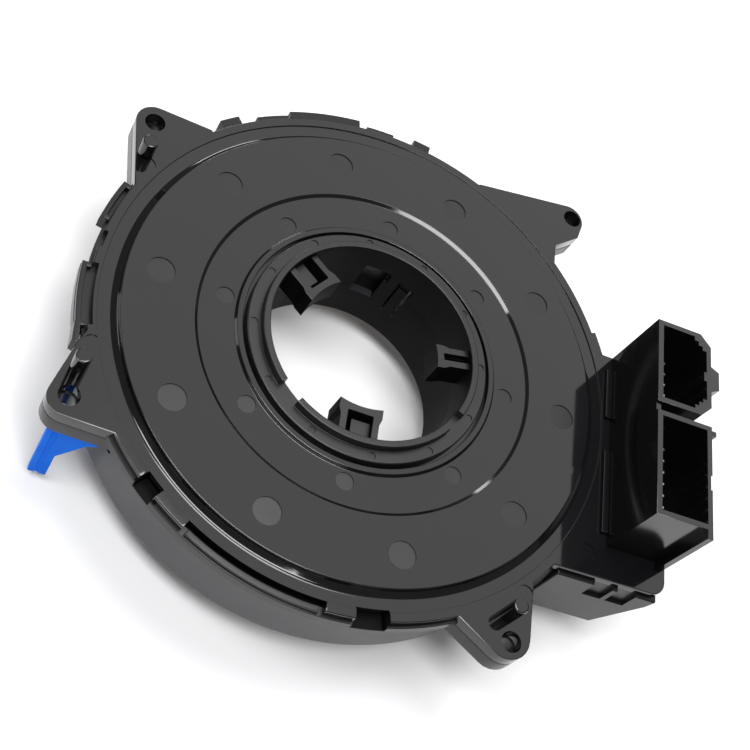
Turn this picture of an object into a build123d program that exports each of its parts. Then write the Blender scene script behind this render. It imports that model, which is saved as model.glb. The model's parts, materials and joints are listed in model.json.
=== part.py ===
from build123d import *
from math import atan2, cos, degrees, radians, sin, sqrt
import os

os.makedirs("parts", exist_ok=True)

# Steering clock spring: a fixed case on the steering column and a rotor that turns with the wheel.
# Millimetres. The origin is on the turning axis at the mouth of the shaft bore, on the wheel side,
# and +Z points along the steering shaft to the column side. +X points to the plug sockets.
# Angles are in degrees from +X, counter-clockwise as seen from +Z.

# Clearances
turning_gap = 0.6
axial_gap = 0.5
skirt_gap = 0.5
seat_gap = 0.1
loose_gap = 0.3
lead_gap_angle = 0.2
bus_gap_angle = 1.5

# How far a form reaches into the one that it is moulded to
root_lap = 1.0
rib_lap = 0.3

# Rotor
shaft_bore_r = 21.5
tube_wall = 1.7
tube_stand = 1.9
rotor_disc_t = 1.5
skirt_wall = 1.6
drum_wall = 1.5
drum_gap = 1.8
drum_top_gap = 0.44
drum_rib_count = 8
drum_rib_t = 1.2
drum_rib_h = 10.0
rotor_edge_bevel = 0.5
drum_window = (53.0, 67.0)
tube_window = (81.0, 94.0)
tube_window_drop = (3.2, 14.0)
latch_window = (65.0, 73.2)
latch_window_drop = (4.2, 15.5)
latch_slit_angle = 1.2
latch_slit_h = 1.2

# Case and cover
case_depth = 20.4
case_wall_in_r = 47.9
case_wall = 1.5
case_lip_w = 1.4
case_lip_t = 0.6
collar_reach = 0.6
collar_t = 2.4
flange_reach = 5.2
flange_bevel = 0.4
seam_drop = 3.0
rim_drop = 1.36
plateau_inset = 0.2
annulus_r = 33.7
annulus_drop = 0.46
cover_bore_gap = 0.7
bead_w = 1.35
bead_h = 0.15
ledge_gap = 0.4
ledge_drop = 1.15
cover_wall = 1.9
spigot_h = 1.2
spigot_wall = 1.2

# Fixing ears
ear_step = 0.04
ear_cover_t = 2.8
ear_case_t = 3.8
ear_root_w = 4.0
ear_case_hole_r = 1.7
ear_cover_hole_r = 2.0
dowel_r = 1.5
dowel_tip = 0.4

# Flat cable and its rollers
cable_t = 0.3
cable_pitch = 0.5
cable_turns = 2
cable_top_gap = 0.4
roller_count = 6
roller_gap = 0.45
roller_pin_r = 2.0
roller_pin_gap = 0.05
carrier_t = 1.0
carrier_fin_h = 4.0
carrier_fin_w = 1.0
carrier_fin_angle = 16.0
carrier_inset = 0.25
u_turn_tail_angle = 26.0
u_turn_gap = 0.65
glide_t = 0.3
glide_inset = 1.0
lead_angles = (-17.0, 11.0)
lead_margin_angle = 1.5
rotor_lead_angles = (53.4, 66.6)
rotor_lead_reach = 0.8

# Sleeve in the rotor's tube
sleeve_inset = 1.1
sleeve_wall = 1.3
sleeve_lip_wall = 1.4
sleeve_top = 2.4
sleeve_depth = 7.0
sleeve_flange_reach = 2.8
sleeve_flange_rise = 0.6
sleeve_flange_t = 1.4
sleeve_flange_bevel = 0.3
lip_notches = [(-137.7, -125.4), (-38.0, -25.8)]
window_margin_angle = 1.5
latch_margin_angle = 1.0
tab_places = [(-90.4, 8.6), (141.6, 8.1), (10.3, 5.0)]
tab_rise = 1.0
tab_depth = 6.0
tab_reach_r = 13.8
tab_nose = 0.6
tab_bar = 1.5
tab_leg = 1.3
tab_pocket = 1.8
tab_rib_t = 0.6
tab_root_lap = 0.4

# Plug sockets on the column side
socket_depth = 12.1
socket_h = 16.0
socket_wall = 1.1
socket_floor_t = 2.4
upper_socket_y = (-1.3, 17.5)
lower_socket_y = (-25.2, -3.1)
socket_chamfer = 2.4
key_rise = 1.8
key_y = (4.8, 10.6)
fin_t = 1.2
fin_reach = 1.8
hook_reach = 1.7
hook_t = 1.3
recess_depth = 0.4
recess_y = (-16.75, -13.55)
ledge_reach = 1.1
ledge_root_w = 30.3
ledge_y = (-32.0, 17.8)
ledge_corner_r = 3.0
cover_rib_w = 1.5
upper_rib_y = (2.7, 14.0)
lower_rib_y = (-22.7, -5.0)
tail_opening_inset = (2.4, 2.2)
tail_opening_y = (-24.0, 16.0)

# Terminals
pin_side = 0.64
pin_tip_h = 8.7
pin_tail = 6.0
upper_pin_count = 5
lower_pin_count = 7
pin_step = 2.5
pin_row_reach = 6.0
bus_w = 0.45
bus_t = 0.6
bus_rise = 0.2

# Terminal box in front of the ledge
box_y = (-32.8, 18.0)
box_reach = 0.3
box_slope_w = 5.5
box_root_w = 21.5
box_shoulder_w = 0.5
box_shoulder_h = 3.0
box_depth = 18.7
box_wall = 1.6
box_notch_reach = (0.9, 5.9)
box_notch_w = 4.0
box_notch_h = 5.0
lid_t = 1.4

# Sockets and pins on the wheel side
front_h = 9.6
drive_pin_r = 3.0
drive_pin_inset = 11.6
drive_pin_angles = (180.0, 270.0)
front_socket_inset = 13.6
squib_size = (17.0, 12.0)
squib_angle = 90.0
switch_size = (22.0, 12.0)
switch_angle = 0.0
front_wall = 1.1
front_corner_r = 1.0
front_floor_t = 2.0
front_hole_margin = 0.5
front_pin_h = 4.5
front_pin_step = 4.0
front_pin_row = 1.4
front_pin_margin = 5.0

# Lock pin for transport, placed from the screw hole of the ear above it
lock_from_hole_x = (-1.4, 2.0)
lock_from_hole_y = (-3.2, -1.8)
lock_finger_gap = 0.75
lock_finger_h = 2.4
lock_web_set = 1.8
lock_web_drop = (3.5, 10.5)
lock_depth = 27.2
lock_slot_gap = 0.4

# Levels that follow from the sizes above
mouth = 0.0
face = mouth + tube_stand
disc_top = face + rotor_disc_t
plateau = face + case_depth
rim = plateau - rim_drop
seam = plateau - seam_drop
collar_low = seam - collar_t
annulus = plateau - annulus_drop
drum_top = annulus - cover_wall - drum_top_gap
carrier_low = disc_top + loose_gap
carrier_high = carrier_low + carrier_t
cable_top = seam - spigot_h - cable_top_gap
cable_low = carrier_high + seat_gap
skirt_top = collar_low - axial_gap
wall_low = disc_top + axial_gap
ear_top = rim - ear_step
ear_split = ear_top - ear_cover_t
ear_low = ear_split - ear_case_t
front_low = face - front_h
box_low = plateau - box_depth
bus_low = cable_top + bus_rise
bus_top = bus_low + bus_t

# Radii that follow from the sizes above
sleeve_bore_r = shaft_bore_r - sleeve_inset
sleeve_flange_r = shaft_bore_r + sleeve_flange_reach
cover_bore_r = sleeve_flange_r + cover_bore_gap
plateau_r = case_wall_in_r - plateau_inset
flange_r = case_wall_in_r + flange_reach
collar_r = flange_r + collar_reach
tube_r = shaft_bore_r + tube_wall
drum_in_r = tube_r + drum_gap
drum_r = drum_in_r + drum_wall
wall_r = case_wall_in_r + case_wall
skirt_in_r = wall_r + turning_gap
skirt_r = skirt_in_r + skirt_wall
box_in_r = skirt_r + skirt_gap
drive_pin_at_r = skirt_r - drive_pin_inset
front_socket_at_r = skirt_r - front_socket_inset
inner_coil_r = drum_r + loose_gap
outer_coil_r = case_wall_in_r - loose_gap
inner_path_r = inner_coil_r + cable_t + cable_turns * cable_pitch
outer_path_r = outer_coil_r - cable_t - cable_turns * cable_pitch
roller_at_r = (inner_path_r + outer_path_r) / 2
loop_out_r = (outer_path_r - inner_path_r) / 2 - u_turn_gap
loop_in_r = loop_out_r - cable_t
roller_r = loop_in_r - roller_gap

# Places along X that follow from the sizes above
socket_near_x = flange_r
socket_outer_x = socket_near_x + socket_depth
pin_row_x = socket_near_x + pin_row_reach
ledge_x = socket_outer_x + ledge_reach
ledge_root_x = ledge_x - ledge_root_w
box_top_x = socket_outer_x + box_reach
box_low_x = box_top_x - box_slope_w
box_root_x = box_top_x - box_root_w


def polar(r, angle):
    """Point in the plane at a radius and an angle."""
    return (r * cos(radians(angle)), r * sin(radians(angle)))


def upright(outline, z_low, z_high):
    """Solid that stands on an outline between two levels."""
    return Pos(0, 0, z_low) * extrude(outline, z_high - z_low, dir=(0, 0, 1))


def ring(r_in, r_out, z_low, z_high):
    """Ring about the turning axis."""
    return upright(Circle(r_out) - Circle(r_in), z_low, z_high)


def rod(x, y, r, z_low, z_high):
    """Round rod or hole along Z."""
    return upright(Pos(x, y) * Circle(r), z_low, z_high)


def block(x_range, y_range, z_range):
    """Block between pairs of limits."""
    spans = [x_range, y_range, z_range]
    middle = [(low + high) / 2 for low, high in spans]
    return Pos(*middle) * Box(*[high - low for low, high in spans])


def arc_face(r_in, r_out, start, end):
    """Stretch of a flat ring between two angles."""
    middle = (start + end) / 2
    outer = ThreePointArc(polar(r_out, start), polar(r_out, middle), polar(r_out, end))
    inner = ThreePointArc(polar(r_in, end), polar(r_in, middle), polar(r_in, start))
    return make_face([outer, Line(outer @ 1, inner @ 0), inner, Line(inner @ 1, outer @ 0)])


def arc_block(r_in, r_out, start, end, z_low, z_high):
    """Stretch of ring between two angles and two levels."""
    return upright(arc_face(r_in, r_out, start, end), z_low, z_high)


def turned(profile):
    """Body turned about the axis from points of radius and level."""
    points = [(r, 0, z) for r, z in profile]
    return revolve(make_face(Polyline(*points, close=True)), Axis.Z)


def outline(points, corner, corner_r):
    """Closed outline with one rounded corner."""
    flat = make_face(Polyline(*points, close=True))
    vertex = flat.vertices().sort_by_distance((*corner, 0))[0]
    return fillet(vertex, corner_r)


def grown(limits, extra):
    """Pair of limits moved apart on both sides."""
    return (limits[0] - extra, limits[1] + extra)


# Fixing ears, each at the angle of its screw hole. A place is its reach out from the flange and its
# distance along it: the screw hole, the rounded corner with its radius, the other points of the
# outline, and the dowel with its height above the ear. The last point lies inside the flange.
ears = {
    "a": {
        "angle": 145.1, "hole": (6.7, 0.0), "corner": (12.8, -0.7), "round": 3.8,
        "points": [(-2.7, 14.2), (12.8, -0.7), (-0.4, -9.0), (-14.8, -2.5)],
        "dowel": (2.3, 6.8), "dowel_h": 4.3,
    },
    "b": {
        "angle": 49.8, "hole": (12.1, 0.0), "corner": (17.5, -0.4), "round": 3.5,
        "points": [(-2.5, 17.0), (17.5, -0.4), (9.8, -4.2), (3.3, -2.9), (-2.2, -7.5), (-14.7, 1.0)],
        "dowel": None, "dowel_h": 0.0,
    },
    "c": {
        "angle": -151.1, "hole": (5.0, 0.0), "corner": (11.0, 1.1), "round": 3.6,
        "points": [(-3.2, -13.4), (0.8, -9.8), (11.0, 1.1), (-2.3, 9.2), (-17.2, 3.0)],
        "dowel": (2.7, -4.0), "dowel_h": 6.4,
    },
    "d": {
        "angle": -54.9, "hole": (7.1, 0.0), "corner": (15.0, -0.9), "round": 4.5,
        "points": [(-2.1, -8.2), (15.0, -0.9), (-3.2, 11.9), (-18.0, 4.7)],
        "dowel": (2.5, 2.0), "dowel_h": 5.2,
    },
}

# Rim details as start and end angles, with their reach out from the flange or into it
rim_tabs = [(127.5, 132.0), (99.0, 115.3), (82.0, 86.0)]
rim_clips = [(115.8, 123.0), (90.6, 97.0)]
rim_loops = [(160.0, 170.0), (-179.0, -165.0)]
rim_windows = [(-133.0, -128.4), (-84.5, -77.5)]
rim_slot = (-121.0, -90.5)
small_window = (173.0, 177.0)
side_tab = (13.0, 25.0)
rim_tab_reach = 2.0
clip_reach = 1.5
clip_drop = 1.0
loop_reach = 2.5
loop_t = 1.3
loop_post_angle = 1.5
loop_relief = 1.1
side_tab_reach = 1.2
window_depth = 2.2
slot_depth = 1.9
slot_step = 0.8
slot_step_angle = 1.0


def ear_place(ear, place):
    """Point in the plane from an ear's own place."""
    reach, along = place
    turn = radians(ear["angle"])
    r = flange_r + reach
    return (r * cos(turn) - along * sin(turn), r * sin(turn) + along * cos(turn))


def ear_outline(ear):
    """Outline of one fixing ear."""
    points = [ear_place(ear, place) for place in ear["points"]]
    return outline(points, ear_place(ear, ear["corner"]), ear["round"])


def pin_places(socket_y, count):
    """Terminal pins in one row in the middle of a socket."""
    first_y = sum(socket_y) / 2 - pin_step * (count - 1) / 2
    return [(pin_row_x, first_y + pin_step * index) for index in range(count)]


upper_pins = pin_places(upper_socket_y, upper_pin_count)
lower_pins = pin_places(lower_socket_y, lower_pin_count)
all_pins = lower_pins + upper_pins
bus_bend_x = collar_r + box_wall
bus_angles = grown([degrees(atan2(all_pins[end][1], bus_bend_x)) for end in (0, -1)], bus_gap_angle)

lock_hole_x, lock_hole_y = ear_place(ears["c"], ears["c"]["hole"])
lock_x = [lock_hole_x + offset for offset in lock_from_hole_x]
lock_y = [lock_hole_y + offset for offset in lock_from_hole_y]
lock_finger_x = -sqrt((skirt_r + lock_finger_gap) ** 2 - lock_y[1] ** 2)


def pin_block(places, side, z_low, z_high):
    """Square pins or holes at a list of places."""
    half = side / 2
    pins = [block((x - half, x + half), (y - half, y + half), (z_low, z_high)) for x, y in places]
    return Compound(children=pins)


def stator_cover():
    """Cover on the column side with its stepped rings, ears, dowels and the ledge under the plugs."""
    ledge_in_r = tube_r + ledge_gap
    spigot_r = case_wall_in_r - loose_gap
    spigot_in_r = spigot_r - spigot_wall
    under = plateau - cover_wall
    under_annulus = annulus - cover_wall
    body = turned([
        (ledge_in_r, plateau - ledge_drop), (cover_bore_r, plateau - ledge_drop),
        (cover_bore_r, plateau), (cover_bore_r + bead_h, plateau + bead_h),
        (cover_bore_r + bead_w / 2, plateau + bead_h), (cover_bore_r + bead_w, annulus),
        (annulus_r, annulus), (annulus_r + annulus_drop / 2, plateau),
        (plateau_r - bead_h, plateau), (plateau_r, plateau - bead_h), (plateau_r, rim),
        (flange_r - flange_bevel, rim), (flange_r, rim - flange_bevel), (flange_r, seam),
        (spigot_r, seam), (spigot_r, seam - spigot_h), (spigot_in_r, seam - spigot_h),
        (spigot_in_r, under), (annulus_r + cover_wall / 2, under),
        (annulus_r, under_annulus), (ledge_in_r, under_annulus),
    ])
    ledge = outline([(ledge_x, ledge_y[0]), (ledge_x, ledge_y[1]), (ledge_root_x, ledge_y[1]),
                     (ledge_root_x, ledge_y[0])], (ledge_x, ledge_y[0]), ledge_corner_r)
    body += upright(ledge - Circle(plateau_r), seam, ear_top)
    for ear in ears.values():
        shape = ear_outline(ear)
        body += upright(shape - Circle(flange_r - ear_root_w), seam, ear_top)
        body += upright(shape - Circle(collar_r + seat_gap), ear_split, seam)
        x, y = ear_place(ear, ear["hole"])
        body -= rod(x, y, ear_cover_hole_r, ear_split, ear_top)
        if ear["dowel"]:
            x, y = ear_place(ear, ear["dowel"])
            body += rod(x, y, dowel_r, ear_top, ear_top + ear["dowel_h"] - dowel_tip)
            tip = Pos(x, y, ear_top + ear["dowel_h"] - dowel_tip / 2)
            body += tip * Cone(dowel_r, dowel_r - dowel_tip, dowel_tip)
    rib_x = (socket_near_x - cover_rib_w, socket_near_x - seat_gap)
    rib_z = (rim - seat_gap, annulus)
    body += block(rib_x, upper_rib_y, rib_z)
    body += block(rib_x, lower_rib_y, rib_z)
    opening_x = (socket_near_x + tail_opening_inset[0], socket_outer_x - tail_opening_inset[1])
    body -= block(opening_x, tail_opening_y, (seam, ear_top))
    outside = flange_r + rim_tab_reach
    for start, end in rim_windows:
        body -= arc_block(flange_r - window_depth, outside, start, end, seam, rim)
    body -= arc_block(flange_r - slot_depth, outside, *rim_slot, seam, rim)
    body -= arc_block(flange_r - loose_gap, flange_r, *small_window, seam, rim)
    body -= arc_block(flange_r - loop_relief, outside, *rim_loops[1], seam, rim)
    body += arc_block(flange_r - root_lap, flange_r + side_tab_reach, *side_tab, seam, rim - flange_bevel)
    return body


def stator_case():
    """Case ring with the cable's outer wall, the ears' lower layer and the terminal box."""
    body = turned([
        (case_wall_in_r, seam), (collar_r, seam), (collar_r, collar_low), (wall_r, collar_low),
        (wall_r, wall_low), (case_wall_in_r - case_lip_w, wall_low),
        (case_wall_in_r - case_lip_w, wall_low + case_lip_t), (case_wall_in_r, wall_low + case_lip_t),
    ])
    for ear in ears.values():
        shape = ear_outline(ear)
        body += upright(shape - Circle(collar_r - root_lap), collar_low, ear_split)
        body += upright(shape - Circle(box_in_r), ear_low, collar_low)
        x, y = ear_place(ear, ear["hole"])
        body -= rod(x, y, ear_case_hole_r, ear_low, ear_split)
    root_r = collar_r - root_lap
    tab_root_r = flange_r + loose_gap
    tab_high = rim - flange_bevel
    for start, end in rim_tabs:
        body += arc_block(root_r, flange_r + rim_tab_reach, start, end, collar_low, seam)
        body += arc_block(tab_root_r, flange_r + rim_tab_reach, start, end, seam, tab_high)
    for start, end in rim_clips:
        body += arc_block(root_r, flange_r + rim_tab_reach, start, end, collar_low, seam)
        body += arc_block(tab_root_r, flange_r + clip_reach, start, end, seam, rim - clip_drop)
    loop_r = flange_r + loop_reach
    for start, end in rim_loops:
        body += arc_block(root_r, loop_r, start, end, collar_low, seam)
        body += arc_block(loop_r - loop_t, loop_r, start, end, seam, tab_high)
        for post in ((start, start + loop_post_angle), (end - loop_post_angle, end)):
            body += arc_block(tab_root_r, loop_r, *post, seam, tab_high)
    for start, end in rim_windows:
        body -= arc_block(skirt_in_r, collar_r, start, end, collar_low, seam)
    start, end = grown(rim_slot, -slot_step_angle)
    body += arc_block(flange_r - slot_depth + slot_step, flange_r, start, end, seam, seam + slot_step)
    body += terminal_box()
    body -= arc_block(skirt_in_r, collar_r, *bus_angles, bus_low - seat_gap, seam)
    body -= arc_block(case_wall_in_r, skirt_in_r, *grown(lead_angles, lead_gap_angle), cable_low, seam)
    return body


def terminal_box():
    """Box around the tails of the terminals, open to the front and to the back."""
    profile = [(box_root_x, seam), (box_top_x, seam),
               (box_top_x - box_shoulder_w, seam - box_shoulder_h), (box_low_x, box_low),
               (box_root_x, box_low)]
    side = make_face(Polyline(*[(x, box_y[0], z) for x, z in profile], close=True))
    shell = extrude(side, box_y[1] - box_y[0], dir=(0, 1, 0))
    start, end = grown(box_y, -box_wall)
    inside = make_face(Polyline(*[(x - box_wall, start, z) for x, z in profile], close=True))
    shell -= extrude(inside, end - start, dir=(0, 1, 0)) - rod(0, 0, box_in_r + box_wall, box_low, seam)
    shell -= rod(0, 0, box_in_r, box_low, collar_low)
    shell -= rod(0, 0, collar_r - root_lap, collar_low, seam)
    for reach in box_notch_reach:
        notch_x = grown((socket_near_x + reach, socket_near_x + reach), box_notch_w / 2)
        shell -= block(notch_x, (box_y[0], box_y[0] + box_wall / 2), (seam - box_notch_h, seam))
    return shell


def terminal_lid():
    """Lid that closes the front of the terminal box."""
    slope = (box_slope_w - box_shoulder_w) / (seam - box_shoulder_h - box_low)
    low_x = box_low_x - box_wall - seat_gap
    high_x = low_x + slope * lid_t
    profile = [(box_root_x, box_low), (low_x, box_low), (high_x, box_low + lid_t),
               (box_root_x, box_low + lid_t)]
    start, end = grown(box_y, -box_wall - seat_gap)
    side = make_face(Polyline(*[(x, start, z) for x, z in profile], close=True))
    plate = extrude(side, end - start, dir=(0, 1, 0))
    return plate - rod(0, 0, box_in_r + box_wall + seat_gap, box_low, box_low + lid_t)


def socket_block():
    """Two plug sockets side by side, open to the column side."""
    low = ear_top
    high = plateau + socket_h
    floor = low + socket_floor_t
    near, outer = socket_near_x, socket_outer_x
    y_low, y_high = upper_socket_y
    cut = socket_chamfer
    upper = Polyline((near, y_low), (outer - cut, y_low), (outer, y_low + cut), (outer, y_high - cut),
                     (outer - cut, y_high), (near, y_high), close=True)
    shape = make_face(upper)
    body = upright(shape, low, high)
    body -= upright(offset(shape, -socket_wall, kind=Kind.INTERSECTION), floor, high)
    bump = Polyline((outer, key_y[0]), (outer + key_rise, key_y[0] + key_rise),
                    (outer + key_rise, key_y[1] - key_rise), (outer, key_y[1]), close=True)
    body += upright(make_face(bump), low, high)
    slot_x = (outer - socket_wall, outer + key_rise - socket_wall)
    body -= block(slot_x, (key_y[0] + key_rise, key_y[1] - key_rise), (floor, high))
    y_low, y_high = lower_socket_y
    lower = block((near, outer), (y_low, y_high), (low, high))
    lower -= block((near + socket_wall, outer - socket_wall), grown((y_low, y_high), -socket_wall),
                   (floor, high))
    lower += block((outer - fin_t, outer), (y_low - fin_reach, y_low), (low, high))
    lower += block((outer, outer + hook_reach), (y_high - hook_t, y_high), (low, high))
    lower -= block((outer - recess_depth, outer), recess_y, (low, high))
    body += lower
    body += block((near, outer - cut), (lower_socket_y[1], upper_socket_y[0]), (low, floor))
    body -= pin_block(all_pins, pin_side + seat_gap, low, floor)
    return body


def terminals(places):
    """Row of square terminal pins from the box up into a socket."""
    return pin_block(places, pin_side, plateau - pin_tail, plateau + pin_tip_h)


def lead_block(r_in, r_out, start, end):
    """Moulded block that holds the end of the flat cable."""
    return arc_block(r_in, r_out, start, end, cable_low + seat_gap, cable_top)


def bus_bars():
    """Flat bars from the lead block to the terminals, each with one bend."""
    start_x = wall_r + seat_gap
    half = bus_w / 2
    bars = []
    for index, (pin_x, pin_y) in enumerate(all_pins):
        share = index / (len(all_pins) - 1)
        low_angle, high_angle = grown(lead_angles, -lead_margin_angle)
        angle = low_angle + share * (high_angle - low_angle)
        first = Vector(start_x * cos(radians(angle)), start_x * sin(radians(angle)))
        bend = Vector(bus_bend_x, pin_y)
        last = Vector(pin_x - pin_side / 2, pin_y)
        across = (bend - first).normalized().rotate(Axis.Z, 90) * half
        up = Vector(0, half)
        points = [first - across, bend - up, last - up, last + up, bend + up, first + across]
        bars.append(upright(make_face(Polyline(*points, close=True)), bus_low, bus_top))
    return Compound(children=bars)


def winding(start_r, step, turns):
    """Coiled flat cable as half circles whose centres swap sides, one step of radius to a turn."""
    outer = []
    inner = []
    for half_turn in range(2 * turns):
        centre = step / 4 if half_turn % 2 else -step / 4
        r = start_r + step * half_turn / 2
        side = -1 if half_turn % 2 else 1
        for path, radius in ((outer, r + cable_t), (inner, r)):
            path.append(ThreePointArc((centre + side * radius, 0), (centre, side * radius),
                                      (centre - side * radius, 0)))
    ends = [Line(outer[0] @ 0, inner[0] @ 0), Line(outer[-1] @ 1, inner[-1] @ 1)]
    return upright(make_face([*outer, *inner, *ends]), cable_low, cable_top)


def glide_sheet():
    """Thin sheet under the cover that the cable slides against."""
    high = annulus - cover_wall - seat_gap
    outer_r = case_wall_in_r - loose_gap - spigot_wall - loose_gap
    return ring(drum_r + glide_inset, outer_r, high - glide_t, high)


def rotor():
    """Rotor with shaft tube, cable drum, disc, outer skirt and drive pins."""
    bevel = rotor_edge_bevel
    tube_top = plateau + sleeve_flange_rise - sleeve_flange_t - seat_gap
    step = plateau - sleeve_depth - seat_gap
    seat_r = sleeve_bore_r + sleeve_wall + seat_gap
    body = turned([
        (shaft_bore_r, mouth), (tube_r, mouth), (tube_r, face), (skirt_r - bevel, face),
        (skirt_r, face + bevel), (skirt_r, skirt_top), (skirt_in_r, skirt_top), (skirt_in_r, disc_top),
        (drum_r, disc_top), (drum_r, drum_top), (drum_in_r, drum_top), (drum_in_r, disc_top),
        (tube_r, disc_top), (tube_r, tube_top), (seat_r, tube_top), (seat_r, step), (shaft_bore_r, step),
    ])
    for index in range(drum_rib_count):
        rib = block((tube_r - rib_lap, drum_in_r + rib_lap), (-drum_rib_t / 2, drum_rib_t / 2),
                    (disc_top, disc_top + drum_rib_h))
        body += Rot(0, 0, index * 360 / drum_rib_count) * rib
    for angle in drive_pin_angles:
        x, y = polar(drive_pin_at_r, angle)
        body += rod(x, y, drive_pin_r, front_low, face)
    high, low = [plateau - drop for drop in tube_window_drop]
    body -= arc_block(sleeve_bore_r, tube_r, *tube_window, low, high)
    start, end = latch_window
    high, low = [plateau - drop for drop in latch_window_drop]
    for slit in ((start, start + latch_slit_angle), (end - latch_slit_angle, end)):
        body -= arc_block(sleeve_bore_r, tube_r, *slit, low, high)
    body -= arc_block(sleeve_bore_r, tube_r, start, end, high - latch_slit_h, high)
    body -= arc_block(drum_in_r, drum_r, *drum_window, cable_low, drum_top)
    for size, angle in ((squib_size, squib_angle), (switch_size, switch_angle)):
        columns = front_columns(size[0])
        hole = block(grown((columns[0], columns[-1]), front_hole_margin),
                     grown((-front_pin_row, front_pin_row), front_hole_margin), (face, disc_top))
        body -= Pos(*polar(front_socket_at_r, angle)) * Rot(0, 0, angle - 90) * hole
    high = lock_finger_top() + loose_gap
    low = lock_finger_top() - lock_finger_h - loose_gap
    body -= block((-skirt_r, -skirt_in_r / 2), grown(lock_y, lock_slot_gap), (low, high))
    return body


def lock_finger_top():
    """Top of the lock pin's finger, a running gap under the ear."""
    return ear_low - loose_gap


def sleeve():
    """Moulded sleeve with a flange over the rotor's tube and three U-shaped tabs."""
    low = plateau - sleeve_depth
    high = plateau + sleeve_top
    flange_high = plateau + sleeve_flange_rise
    flange_low = flange_high - sleeve_flange_t
    tube_out = sleeve_bore_r + sleeve_wall
    lip_out = sleeve_bore_r + sleeve_lip_wall
    body = turned([
        (sleeve_bore_r, low), (tube_out, low), (tube_out, flange_low), (sleeve_flange_r, flange_low),
        (sleeve_flange_r, flange_high - sleeve_flange_bevel),
        (sleeve_flange_r - sleeve_flange_bevel, flange_high),
        (lip_out, flange_high), (lip_out, high), (sleeve_bore_r, high),
    ])
    for start, end in lip_notches:
        body -= arc_block(tab_reach_r, lip_out, start, end, flange_high, high)
    window = grown(tube_window, window_margin_angle)
    body -= arc_block(sleeve_bore_r, tube_out, *window, low, plateau - tube_window_drop[0])
    window = grown(latch_window, latch_margin_angle)
    body -= arc_block(sleeve_bore_r, tube_out, *window, low, plateau - latch_window_drop[0])
    for angle, width in tab_places:
        body += Rot(0, 0, angle) * sleeve_tab(width)
    return body


def sleeve_tab(width):
    """Tab on +X: two legs from the sleeve's wall to a bar that is hollow toward the axis."""
    low = plateau + tab_rise - tab_depth
    high = plateau + tab_rise
    half = width / 2
    legs = Rectangle(sleeve_bore_r - tab_reach_r + root_lap, width, align=(Align.MIN, Align.CENTER))
    shape = Pos(tab_reach_r - tab_nose, 0) * legs - Circle(tab_reach_r)
    shape = shape & Circle(sleeve_bore_r + tab_root_lap)
    tab = upright(shape, low, high)
    pocket = Rectangle(sleeve_bore_r - tab_reach_r - tab_bar, 2 * (half - tab_leg),
                       align=(Align.MIN, Align.CENTER))
    pocket = Pos(tab_reach_r + tab_bar, 0) * pocket
    tab -= upright(pocket, high - tab_pocket, high)
    rib_x = (sleeve_bore_r + tab_reach_r + tab_bar) / 2
    tab += block(grown((rib_x, rib_x), tab_rib_t / 2), grown((-half, half), -tab_leg),
                 (high - tab_pocket, high - tab_pocket / 2))
    return tab


def front_socket(size, angle):
    """Plug socket on the wheel side of the rotor, open to the wheel."""
    length, width = size
    outer = block((-length / 2, length / 2), (-width / 2, width / 2), (front_low, face))
    inner = block((-length / 2 + front_wall, length / 2 - front_wall),
                  (-width / 2 + front_wall, width / 2 - front_wall), (front_low, face - front_floor_t))
    body = fillet(outer.edges().filter_by(Axis.Z), front_corner_r) - inner
    body -= front_pins(length, pin_side + seat_gap, face - front_floor_t, face)
    x, y = polar(front_socket_at_r, angle)
    return Pos(x, y) * Rot(0, 0, angle - 90) * body


def front_columns(length):
    """Places along a front socket of its columns of pins."""
    count = int((length - front_pin_margin) / front_pin_step)
    return [front_pin_step * (index - (count - 1) / 2) for index in range(count)]


def front_pins(length, side, z_low, z_high):
    """Pins of a front socket about its own centre, in two rows."""
    places = [(column, row) for column in front_columns(length) for row in (-front_pin_row, front_pin_row)]
    return pin_block(places, side, z_low, z_high)


def front_terminals(size, angle):
    """Terminal pins of one front socket, from the disc's back into the socket."""
    low = front_low + front_pin_h
    x, y = polar(front_socket_at_r, angle)
    return Pos(x, y) * Rot(0, 0, angle - 90) * front_pins(size[0], pin_side, low, disc_top - seat_gap)


def roller_carrier():
    """Ring with six roller pins and low fins that keep the cable's loops apart."""
    high = carrier_high
    ring_in = roller_at_r - loop_in_r + carrier_inset
    ring_out = roller_at_r + loop_in_r - carrier_inset
    body = ring(ring_in, ring_out, carrier_low, high)
    for index in range(roller_count):
        angle = index * 360 / roller_count
        x, y = polar(roller_at_r, angle)
        body += rod(x, y, roller_pin_r, high, cable_top + loose_gap)
        middle = angle + 180 / roller_count
        span = (middle - carrier_fin_angle / 2, middle + carrier_fin_angle / 2)
        body += arc_block(ring_out - carrier_fin_w, ring_out, *span, high, high + carrier_fin_h)
    return body


def roller(index):
    """Roller that turns on its own pin of the carrier."""
    body = ring(roller_pin_r + roller_pin_gap, roller_r, cable_low + seat_gap, cable_top - seat_gap)
    return Pos(*polar(roller_at_r, index * 360 / roller_count), 0) * body


def u_turn_cable():
    """Stretch of cable that turns back round the first roller, with a tail along each coil."""
    loop = Pos(roller_at_r, 0) * arc_face(loop_in_r, loop_out_r, 180.0, 360.0)
    outer_tail = arc_face(roller_at_r + loop_in_r, roller_at_r + loop_out_r, 0.0, u_turn_tail_angle)
    inner_tail = arc_face(roller_at_r - loop_out_r, roller_at_r - loop_in_r, 0.0, u_turn_tail_angle)
    return upright(loop + outer_tail + inner_tail, cable_low, cable_top)


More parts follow.
